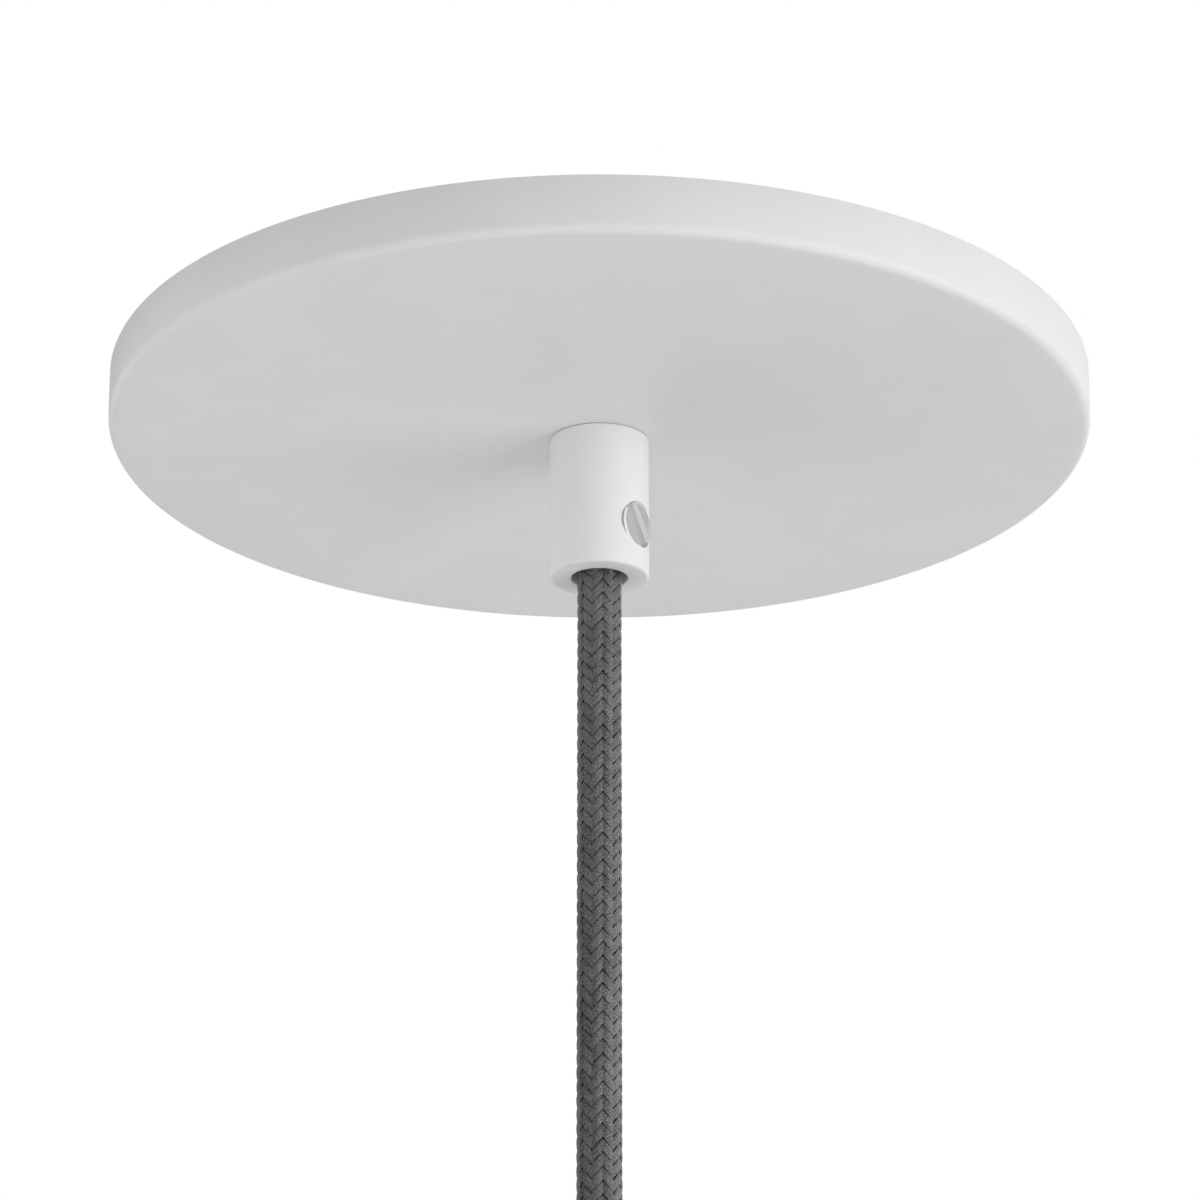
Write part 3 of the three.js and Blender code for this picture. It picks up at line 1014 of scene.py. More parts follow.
def tube_faces(rows: int, sides: int, start: int = 0) -> list[tuple[int, ...]]:
    """Lists the faces of a closed tube: its walls, ring by ring, and then its two ends.

    Args:
        rows: how many rings of points it has.
        sides: how many points are in a ring.
        start: how many points the mesh has already.

    Returns:
        The faces.
    """
    faces = []
    for row in range(rows - 1):
        a = start + row * sides
        b = a + sides
        for k in range(sides):
            nxt = (k + 1) % sides
            faces.append((a + k, a + nxt, b + nxt, b + k))
    last = start + (rows - 1) * sides
    faces.append(tuple(start + k for k in reversed(range(sides))))
    faces.append(tuple(last + k for k in range(sides)))
    return faces


def tube_map(lengths: Sequence[float], sides: int, first: float = 0.0) -> list[tuple]:
    """Maps a closed tube: once round it along U, and its length along V.

    Args:
        lengths: how far along the tube each ring is.
        sides: how many points are in a ring.
        first: where U starts.

    Returns:
        A pair of numbers for each corner of each face.
    """
    uvs = []
    for v0, v1 in zip(lengths, lengths[1:]):
        for k in range(sides):
            u0, u1 = first + k / sides, first + (k + 1) / sides
            uvs += [(u0, v0), (u1, v0), (u1, v1), (u0, v1)]
    return uvs + [(first, 0.0)] * (2 * sides)


def mesh_piece(
    name: str, points: np.ndarray, faces: list, uvs: list, layer: str
) -> bpy.types.Object:
    """Makes a piece of points and faces.

    Args:
        name: the piece's name.
        points: its points in millimetres.
        faces: its faces.
        uvs: a pair of numbers for each face corner. Corners past its end get zero.
        layer: the name of their UV map.

    Returns:
        The piece, with its faces turned outwards.
    """
    mesh = bpy.data.meshes.new(name)
    mesh.from_pydata((points * MM).tolist(), [], faces)
    given = np.array(uvs, np.float32).ravel()
    flat = np.zeros(len(mesh.loops) * 2, np.float32)
    flat[: len(given)] = given
    mesh.uv_layers.new(name=layer).data.foreach_set("uv", flat)
    piece = bpy.data.objects.new(name, mesh)
    bpy.context.scene.collection.objects.link(piece)
    with Shaping(piece):
        bpy.ops.mesh.select_all(action="SELECT")
        bpy.ops.mesh.normals_make_consistent(inside=False)
    return piece


@dataclass
class BraidStrand:
    """The form of one flat strand: its section, and how it dips under the others."""

    width: float = 1.08
    half_thickness: float = 0.17
    ridge: float = 0.04
    dip: float = 0.16
    taper: float = 0.12
    crown: float = 0.92
    underside: float = 0.7
    threads: int = 5

    def section(self) -> np.ndarray:
        """The outline of the strand's section.

        Returns:
            One row for each point: its place across from -1 to 1, and its height in millimetres.
        """
        count = self.threads * 2
        top = []
        for i in range(count + 1):
            across = -1 + 2 * i / count
            height = self.half_thickness * math.sqrt(1 - self.crown * across * across)
            top.append((across, height + (self.ridge if i % 2 else -self.ridge)))
        depth = -self.half_thickness * self.underside
        below = [(across, depth) for across in (self.underside, 0.0, -self.underside)]
        return np.array(top + below)


@dataclass
class PendantCord:
    """The pendant cord: a dark jacket in a herringbone braid, each strand over two and under two."""

    radius: float = 2.7
    columns: int = 12
    chevron: float = 1.7
    column_centre: float = math.radians(-5.5)
    samples: int = 8
    sway: float = 0.03
    swell: float = 0.08
    dip_spread: float = 0.45
    wavelengths: tuple[float, ...] = (11.0, 5.3, 2.6)
    jacket_radius: float = 1.98
    jacket_sides: int = 24
    jacket_rows: int = 24
    seed: int = 4

    def build(self) -> bpy.types.Object:
        """Builds the cord in mesh code.

        Returns:
            The cord, one mesh.
        """
        self.strand = BraidStrand()
        self.middle = (
            self.radius - self.strand.half_thickness - self.strand.ridge - self.strand.dip
        )
        self.turn_rate = math.pi / (self.columns * self.chevron / 2)
        self.random = np.random.default_rng(self.seed)
        top, bottom = CORD_ROUTE[0][2] / MM, CORD_ROUTE[-1][2] / MM
        period = 2 * self.chevron
        count = round((top - bottom) / period * self.samples) + 1
        heights = np.linspace(top, bottom, count)
        points, faces, uvs = [], [], []
        start = 0
        for side in (1, -1):
            for index in range(self.columns):
                strand_points, strand_uvs = self.build_strand(heights, side, index)
                points.append(strand_points)
                faces += tube_faces(count, len(strand_points) // count, start)
                uvs += strand_uvs
                start += len(strand_points)
        jacket_faces = tube_faces(self.jacket_rows, self.jacket_sides, start)
        kinds = [0] * len(faces) + [1] * len(jacket_faces)
        points.append(self.jacket_points(top, bottom))
        faces += jacket_faces
        piece = mesh_piece("braided_cord", np.concatenate(points), faces, uvs, "yarn")
        dress(piece, YARN, "grey_braid", "pendant_cord")
        piece.data.materials.append(JACKET.material())
        piece.data.polygons.foreach_set("use_smooth", [True] * len(faces))
        piece.data.polygons.foreach_set("material_index", kinds)
        return piece

    def build_strand(self, heights: np.ndarray, side: int, index: int) -> tuple[np.ndarray, list]:
        """Lays one strand round the cord.

        Args:
            heights: the heights of its sections.
            side: 1 for a strand that rises to the right, -1 for one that rises to the left.
            index: its number among those of its side.

        Returns:
            Its points in millimetres, and a pair of UV numbers for each face corner.
        """
        strand = self.strand
        section = strand.section()
        share = math.tau / self.columns
        first = self.column_centre + share * (index + 0.25 * side)
        angle = first + side * self.turn_rate * heights
        lean = math.atan(self.turn_rate * self.middle)
        repeat = 4 * math.pi / self.columns
        at_middle = np.cos(math.tau * (angle - self.column_centre) / repeat) * side
        sway = self.wander(heights) * self.sway
        width = strand.width * (1 - strand.taper + strand.taper * at_middle)
        half = width[:, None] / 2 * section[None, :, 0] + sway[:, None]
        turned_to = angle[:, None] + half * math.cos(lean) / self.middle
        local = angle[:, None] + self.dip_spread * half * math.cos(lean) / self.middle
        wave = np.cos(math.tau * (local - self.column_centre) / repeat) * side
        lift = wave * (1.5 - 0.5 * wave * wave) * strand.dip
        swell = 1 + self.wander(heights)[:, None] * self.swell
        reach = self.middle + lift + section[None, :, 1] * swell
        rise = heights[:, None] - side * half * math.sin(lean)
        points = np.stack([reach * np.sin(turned_to), -reach * np.cos(turned_to), rise], axis=-1)
        length = np.concatenate([[0.0], np.cumsum(np.abs(np.diff(heights)) / math.cos(lean))])
        number = index + (0 if side > 0 else self.columns)
        return points.reshape(-1, 3), tube_map(length, len(section), number)

    def wander(self, heights: np.ndarray) -> np.ndarray:
        """Small random differences along a strand, as a braiding machine leaves them.

        Args:
            heights: where they are wanted.

        Returns:
            A number of about -1 to 1 for each height.
        """
        total = np.zeros_like(heights)
        for wavelength in self.wavelengths:
            phase = self.random.uniform(0, math.tau)
            total += np.sin(math.tau * heights / wavelength + phase) / len(self.wavelengths)
        return total

    def jacket_points(self, top: float, bottom: float) -> np.ndarray:
        """Makes the rings of the plain round jacket under the braid.

        Args:
            top: the height of its upper end.
            bottom: the height of its lower end.

        Returns:
            Its points in millimetres.
        """
        sides = self.jacket_sides
        angle = np.arange(sides) / sides * math.tau
        circle = np.stack([np.cos(angle), np.sin(angle)], axis=-1) * self.jacket_radius
        rows = np.linspace(top, bottom, self.jacket_rows)
        return np.concatenate([np.c_[circle, np.full(sides, z)] for z in rows])


@dataclass
class CeilingCover:
    """The cover: a shallow pan, pressed from sheet and powder coated."""

    wall: float = 1.2
    edge_radius: float = 1.1
    bend: float = 0.55
    rim_edge: float = 0.15
    hole_edge: float = 0.12
    hole_radius: float = 5.1
    sides: int = 256

    def build(self) -> None:
        """Builds and dresses the cover."""
        space = Extent.of("canopy_cover")
        radius, low, high = space.radius, space.low.z, space.high.z
        inside = low + self.wall
        piece = cylinder("pressed_cover", radius, low, high, self.sides)
        with Shaping(piece) as shaping:
            shaping.pick(Pick.FACE, level(high))
            shaping.inset(self.wall)
            shaping.extrude(0, 0, inside - high)
            shaping.inset(2 * self.bend)
            shaping.inset(radius - self.wall - 2 * self.bend - self.hole_radius)
            shaping.delete_faces()
            shaping.pick(Pick.FACE, level(low))
            shaping.inset(2 * self.edge_radius)
            shaping.inset(radius - 2 * self.edge_radius - self.hole_radius)
            shaping.delete_faces()
            shaping.pick(Pick.EDGE, lambda points: self.is_hole(points, low, inside))
            shaping.bridge()
            shaping.round_ring(radius, low, self.edge_radius, 8)
            shaping.round_ring(radius - self.wall, inside, self.bend, 4)
            for rim in (radius, radius - self.wall):
                shaping.round_ring(rim, high, self.rim_edge, 2)
            shaping.round_ring(self.hole_radius, low, self.hole_edge, 2)
        smooth(piece)
        dress(piece, POWDER_COAT, "powder_coat", "canopy_cover")

    def is_hole(self, points: list[Vector], low: float, inside: float) -> bool:
        """Whether an edge bounds the hole in the lower or the upper face."""
        return ring(self.hole_radius, low)(points) or ring(self.hole_radius, inside)(points)


@dataclass
class CordGrip:
    """The cord grip: a white moulded sleeve, bored for the nipple, and its clear clamping screw."""

    thread_hole: float = 5.1
    thread_end: float = -15.38
    mouth: float = 3.38
    mouth_edge: float = 0.25
    edge_radius: float = 0.4
    top_edge: float = 0.06
    screw_radius: float = 2.85
    screw_end: float = 5.87
    screw_clearance: float = 0.06
    screw_start: float = 2.82
    screw_height: float = -19.28
    bearing: float = -35.0
    tilt: float = 35.0
    crown_width: float = 0.7
    crown_rise: float = 0.1
    slot_width: float = 2.1
    slot_depth: float = 0.6
    rim_round: float = 0.18
    edge_round: float = 0.12
    # How far from the screw's end the painted highlight reaches
    highlight_band: float = 0.68
    flat_limit: float = 0.97
    hole_sides: int = 72
    screw_sides: int = 96
    sides: int = 192

    def towards_screw(self) -> Matrix:
        """Brings a shape made along Z to the clamping screw's axis.

        Returns:
            The turn and the step that do so.
        """
        return (
            Matrix.Translation((0, 0, self.screw_height * MM))
            @ Matrix.Rotation(math.radians(self.bearing), 4, "Z")
            @ Matrix.Rotation(math.pi / 2, 4, "Y")
            @ Matrix.Rotation(math.radians(self.tilt), 4, "Z")
        )

    def build(self) -> None:
        """Builds and dresses the grip and its screw."""
        self.build_sleeve()
        self.build_screw()

    def build_sleeve(self) -> None:
        """Builds the sleeve with its bore and its threaded side hole."""
        space = Extent.of("cord_grip")
        radius, low, high = space.radius, space.low.z, space.high.z
        piece = cylinder("moulded_grip", radius, low, high, self.sides)
        with Shaping(piece) as shaping:
            shaping.pick(Pick.FACE, level(high))
            shaping.inset(radius - self.thread_hole)
            shaping.extrude(0, 0, self.thread_end - high)
            shaping.inset(self.thread_hole - self.mouth)
            shaping.delete_faces()
            shaping.pick(Pick.FACE, level(low))
            shaping.inset(2 * self.edge_radius)
            shaping.inset(radius - 2 * self.edge_radius - self.mouth)
            shaping.delete_faces()
            shaping.pick(Pick.EDGE, lambda points: self.is_mouth(points, low))
            shaping.bridge()
            shaping.round_ring(radius, low, self.edge_radius, 6)
            shaping.round_ring(self.mouth, low, self.mouth_edge, 4)
            shaping.round_ring(radius, high, self.top_edge, 2)
        opening = self.screw_radius + self.screw_clearance
        hole = cylinder("side_hole", opening, 0, radius + CUT_OVERRUN, self.hole_sides)
        hole.data.transform(self.towards_screw())
        combine(piece, hole, Cut.AWAY)
        smooth(piece)
        dress(piece, POLYAMIDE, "white_polyamide", "cord_grip")

    def is_mouth(self, points: list[Vector], low: float) -> bool:
        """Whether an edge bounds the mouth's bore below or above."""
        return ring(self.mouth, low)(points) or ring(self.mouth, self.thread_end)(points)

    def build_screw(self) -> None:
        """Builds the clear screw with its wide slot, with a painted highlight on its rim, edges and
        slot walls.
        """
        end = self.screw_end
        rim = end - self.crown_rise
        piece = cylinder(
            "clear_clamp_screw", self.screw_radius, self.screw_start, rim, self.screw_sides
        )
        with Shaping(piece) as shaping:
            shaping.pick(Pick.FACE, level(rim))
            shaping.inset(self.crown_width)
            bpy.ops.transform.translate(value=(0, 0, self.crown_rise * MM))
            for height in (self.screw_start, rim):
                shaping.round_ring(self.screw_radius, height, self.rim_round, 3)
        reach = self.screw_radius * 2
        slot = block(
            "slot",
            (-reach, -self.slot_width / 2, end - self.slot_depth),
            (reach, self.slot_width / 2, end + CUT_OVERRUN),
        )
        combine(piece, slot, Cut.AWAY)
        round_edges(piece, self.edge_round, 3)
        # The faces that get the painted highlight, a plain white copy of the nylon
        edges = [self.is_painted_highlight(face) for face in piece.data.polygons]
        piece.data.transform(self.towards_screw())
        smooth(piece)
        dress(piece, CLEAR_NYLON, "clear_nylon", "grip_screw")
        piece.data.materials.append(NYLON_PAINTED_HIGHLIGHT.material())
        piece.data.polygons.foreach_set("material_index", [int(edge) for edge in edges])

    def is_painted_highlight(self, face: bpy.types.MeshPolygon) -> bool:
        """Whether a face is a rim, an edge or a wall of the slot at the upright screw's end, where the
        highlight is painted.
        """
        near_end = face.center.z > (self.screw_end - self.highlight_band) * MM
        return near_end and abs(face.normal.z) < self.flat_limit


@dataclass
class Thread:
    """A screw thread about the vertical axis, closed flat at both ends."""

    radius: float
    root: float
    pitch: float
    low: float
    high: float
    steps: int = 28
    crest: float = 0.14
    flank: float = 0.36

    def build(self, name: str) -> bpy.types.Object:
        """Winds one groove's outline up the thread.

        Args:
            name: the piece's name.

        Returns:
            The threaded rod, a closed solid.
        """
        piece = start_outline(name, self.root, self.low - self.pitch)
        with Shaping(piece) as shaping:
            bpy.ops.mesh.select_mode(type=Pick.VERT.value)
            bpy.ops.mesh.select_all(action="SELECT")
            depth = self.radius - self.root
            shaping.extrude(depth, 0, self.flank * self.pitch)
            shaping.extrude(0, 0, self.crest * self.pitch)
            shaping.extrude(-depth, 0, self.flank * self.pitch)
            shaping.extrude(0, 0, (1 - self.crest - 2 * self.flank) * self.pitch)
        winding = piece.modifiers.new("winding", "SCREW")
        winding.axis = "Z"
        winding.angle = math.tau
        winding.screw_offset = self.pitch * MM
        winding.iterations = math.ceil((self.high - self.low) / self.pitch) + 2
        winding.steps = self.steps
        winding.render_steps = self.steps
        winding.use_merge_vertices = True
        winding.merge_threshold = MERGE_DISTANCE
        only(piece)
        bpy.ops.object.modifier_apply(modifier=winding.name)
        with Shaping(piece) as shaping:
            shaping.outward()
            shaping.trim(self.low, self.high)
            shaping.outward()
        return piece


@dataclass
class SlottedScrew:
    """A screw with a pan head, a straight slot and a rolled thread, modelled head down."""

    shank: float
    pitch: float
    head_height: float
    tip: float
    tip_radius: float
    thread_depth: float
    dome: float = 0.55
    seat_edge: float = 0.12
    slot_width: float = 0.9
    slot_depth: float = 0.9
    root_in_head: float = 0.3
    sides: int = 48

    def build(self, name: str, node: str, head_up: bool) -> bpy.types.Object:
        """Builds the screw where its solid stands.

        Args:
            name: the piece's name.
            node: the solid that gives its size and place.
            head_up: whether the head is its upper end.

        Returns:
            The screw.
        """
        space = Extent.of(node)
        length = space.height - self.head_height
        head = cylinder(name, space.radius, -self.head_height, 0, self.sides)
        with Shaping(head) as shaping:
            shaping.round_ring(space.radius, -self.head_height, self.dome, 4)
            shaping.round_ring(space.radius, 0, self.seat_edge, 2)
        root = self.shank - self.thread_depth
        rod = Thread(self.shank, root, self.pitch, -self.root_in_head, length).build("thread")
        self.taper(rod, length)
        combine(head, rod, Cut.JOIN)
        reach = space.radius * 2
        slot = block(
            "slot",
            (-self.slot_width / 2, -reach, -self.head_height - CUT_OVERRUN),
            (self.slot_width / 2, reach, self.slot_depth - self.head_height),
        )
        combine(head, slot, Cut.AWAY)
        smooth(head)
        middle = space.middle
        if head_up:
            seat = space.high.z - self.head_height
            return moved(head, step(middle.x, middle.y, seat) @ turn(180, "X"))
        return moved(head, step(middle.x, middle.y, space.low.z + self.head_height))

    def build_pair(self, names: tuple[str, str], nodes: tuple[str, str], head_up: bool) -> None:
        """Builds a screw, copies it to a second place, and dresses both.

        Args:
            names: the two pieces' names.
            nodes: the two solids.
            head_up: whether the heads are their upper ends.
        """
        first = self.build(names[0], nodes[0], head_up)
        apart = Extent.of(nodes[1]).middle - Extent.of(nodes[0]).middle
        second = copied(first, names[1], step(*apart))
        for piece, node in zip((first, second), nodes):
            dress(piece, ZINC_SCREW, "zinc_steel", node)

    def taper(self, rod: bpy.types.Object, length: float) -> None:
        """Draws the thread's last stretch in towards the tip.

        Args:
            rod: the threaded rod.
            length: the height of its end.
        """
        start = length - self.tip
        for point in rod.data.vertices:
            over = (point.co.z / MM - start) / self.tip
            if over > 0:
                share = 1 + (self.tip_radius / self.shank - 1) * over
                point.co.x *= share
                point.co.y *= share


# Self-tapping, M3 and M4 screws, each by its own thread
BOARD_SCREW = SlottedScrew(
    1.9, pitch=1.5, head_height=2.3, tip=5.0, tip_radius=0.4, thread_depth=0.45
)
M3_SCREW = SlottedScrew(1.45, pitch=0.5, head_height=1.8, tip=0.5, tip_radius=1.1, thread_depth=0.25)
M4_SCREW = SlottedScrew(1.95, pitch=0.7, head_height=2.3, tip=0.5, tip_radius=1.5, thread_depth=0.35)


@dataclass
class Suspension:
    """What the grip hangs from: the threaded nipple, its nuts and its lock washer."""

    pitch: float = 1.0
    thread_depth: float = 0.5
    thread_steps: int = 64
    bore: float = 3.6
    bore_edge: float = 0.2
    nut_hole: float = 5.1
    nut_chamfer: float = 0.55
    nut_hole_edge: float = 0.35
    nut_edge: float = 0.06
    teeth: int = 12
    tooth_depth: float = 0.8
    tooth_twist: float = 0.1
    sides: int = 96

    def build(self) -> None:
        """Builds and dresses the four pieces."""
        self.build_nipple()
        self.build_nut("lower_nut", "nipple_nut_lower")
        self.build_nut("upper_nut", "nipple_nut_upper")
        self.build_washer()

    def build_nipple(self) -> None:
        """Builds the hollow threaded rod."""
        space = Extent.of("nipple")
        radius, low, high = space.radius, space.low.z, space.high.z
        root = radius - self.thread_depth
        piece = Thread(radius, root, self.pitch, low, high, self.thread_steps).build("threaded_nipple")
        drill(piece, self.bore, low - CUT_OVERRUN, high + CUT_OVERRUN, self.sides)
        with Shaping(piece) as shaping:
            for height in (low, high):
                shaping.round_ring(self.bore, height, self.bore_edge, 2)
        smooth(piece)
        dress(piece, ZINC_SCREW, "zinc_steel", "nipple")

    def build_nut(self, name: str, node: str) -> None:
        """Builds a thin hexagon nut with its corners turned off at both faces.

        Args:
            name: the piece's name.
            node: the solid that it stands for.
        """
        space = Extent.of(node)
        corner, low, high = space.radius, space.low.z, space.high.z
        flat = corner * math.cos(math.pi / 6)
        piece = moved(cylinder(name, corner, low, high, 6), turn(30, "Z"))
        guard_low, guard_high = low + self.nut_chamfer, high - self.nut_chamfer
        guard = cylinder("guard", corner, guard_low, guard_high, self.sides)
        with Shaping(guard) as shaping:
            for face, way in ((guard_high, 1), (guard_low, -1)):
                shaping.pick(Pick.FACE, level(face))
                shaping.extrude(0, 0, way * self.nut_chamfer)
                shaping.widen(flat / corner)
        combine(piece, guard, Cut.KEEP)
        drill(piece, self.nut_hole, low - CUT_OVERRUN, high + CUT_OVERRUN, self.sides)
        with Shaping(piece) as shaping:
            for height in (low, high):
                shaping.round_ring(self.nut_hole, height, self.nut_hole_edge, 2)
        round_edges(piece, self.nut_edge, 2)
        smooth(piece)
        dress(piece, ZINC_SCREW, "zinc_steel", node)

    def build_washer(self) -> None:
        """Builds the lock washer, whose outer teeth are twisted to bite."""
        washer = ToothedWasher(self.nut_hole, self.teeth, self.tooth_depth, self.tooth_twist)
        washer.build("lock_washer", "nipple_washer")


@dataclass
class ToothedWasher:
    """A flat ring with teeth round its outside, each with one corner up and the other down."""

    hole: float
    teeth: int
    depth: float
    twist: float
    ring_wall: float = 0.5
    tooth_start: float = 0.1
    corner_share: float = 0.2
    corners: tuple[tuple[float, int], ...] = ((0.9, -1), (0.4, 1))
    tooth_share: float = 0.5
    steps: int = 4

    def build(self, name: str, node: str) -> None:
        """Builds and dresses the washer.

        Args:
            name: the piece's name.
            node: the solid that it stands for.
        """
        space = Extent.of(node)
        radius = space.radius - self.depth
        low, high = space.low.z + self.twist, space.high.z - self.twist
        piece = cylinder(name, radius, low, high, self.teeth * self.steps)
        with Shaping(piece) as shaping:
            shaping.pierce(radius, self.hole, low, high)
            shaping.pick(Pick.FACE, self.is_tooth)
            shaping.extrude(0, 0, 0)
            shaping.widen((radius + self.depth) / radius)
            shaping.outward()
        with Shaping(piece) as shaping:
            for start, way in self.corners:
                shaping.pick(
                    Pick.VERT,
                    lambda points: math.hypot(*points[0].xy) > radius + self.tooth_start
                    and (self.phase(points[0]) - start) % 1 < self.corner_share,
                )
                bpy.ops.transform.translate(value=(0, 0, way * self.twist * MM))
        moved(piece, step(space.middle.x, space.middle.y, 0))
        smooth(piece)
        dress(piece, ZINC_PLATE, "zinc_steel", node)

    def phase(self, point: Vector) -> float:
        """Where a point is in its tooth's share of the turn, from 0 to 1."""
        return (math.atan2(point.y, point.x) / math.tau * self.teeth) % 1

    def is_tooth(self, points: list[Vector]) -> bool:
        """Whether a face is on the outside of the ring, where a tooth grows.

        Args:
            points: the face's corners.

        Returns:
            True where a tooth grows from it.
        """
        centre = sum(points, Vector()) / len(points)
        upright = max(p.z for p in points) - min(p.z for p in points) > NEAR
        outside = math.hypot(*centre.xy) > self.hole + self.ring_wall
        return upright and outside and self.phase(centre) < self.tooth_share


@dataclass
class Crossbar:
    """The pressed steel bar across the recess, with the two screws that hold it."""

    centre_hole: float = 5.1
    earth_hole: float = 2.2
    block_hole: float = 1.7
    slot_radius: float = 2.15
    slot_travel: float = 3.0
    slot_sides: int = 32
    edge: float = 0.2
    overcut: float = 1.0
    end_sides: int = 256
    sides: int = 64

    def build(self) -> None:
        """Builds and dresses the bar and its screws."""
        self.build_bar()
        names = ("board_screw_left", "board_screw_right")
        BOARD_SCREW.build_pair(names, ("ceiling_screw_left", "ceiling_screw_right"), head_up=False)

    def build_bar(self) -> None:
        """Builds the bar, cut to the cover's curve at its ends."""
        space = Extent.of("crossbar")
        low, high = space.low.z - self.overcut, space.high.z + self.overcut
        piece = block("steel_crossbar", space.low, space.high)
        combine(piece, cylinder("curve", space.radius, low, high, self.end_sides), Cut.KEEP)
        block_screw = Extent.of("block_screw_back").middle
        holes = [
            (self.centre_hole, (0.0, 0.0)),
            (self.earth_hole, (Extent.of("earth_screw").middle.x, 0.0)),
            (self.block_hole, (block_screw.x, block_screw.y)),
            (self.block_hole, (block_screw.x, -block_screw.y)),
        ]
        for radius, at in holes:
            drill(piece, radius, low, high, self.sides, at)
        for node in ("ceiling_screw_left", "ceiling_screw_right"):
            combine(piece, self.slot(Extent.of(node).middle.x, low, high), Cut.AWAY)
        round_edges(piece, self.edge, 2)
        smooth(piece)
        dress(piece, ZINC_PLATE, "zinc_steel", "crossbar")

    def slot(self, x: float, low: float, high: float) -> bpy.types.Object:
        """Makes the solid that cuts a slot with round ends.

        Args:
            x: the slot's middle.
            low: the height of the solid's lower end.
            high: the height of its upper end.

        Returns:
            The solid.
        """
        solid = cylinder("slot", self.slot_radius, low, high, self.slot_sides)
        with Shaping(solid) as shaping:
            for side in (1, -1):
                shaping.pick(Pick.VERT, lambda points: points[0].x * side > NEAR)
                bpy.ops.transform.translate(value=(side * self.slot_travel * MM, 0, 0))
        return moved(solid, step(x, 0, 0))


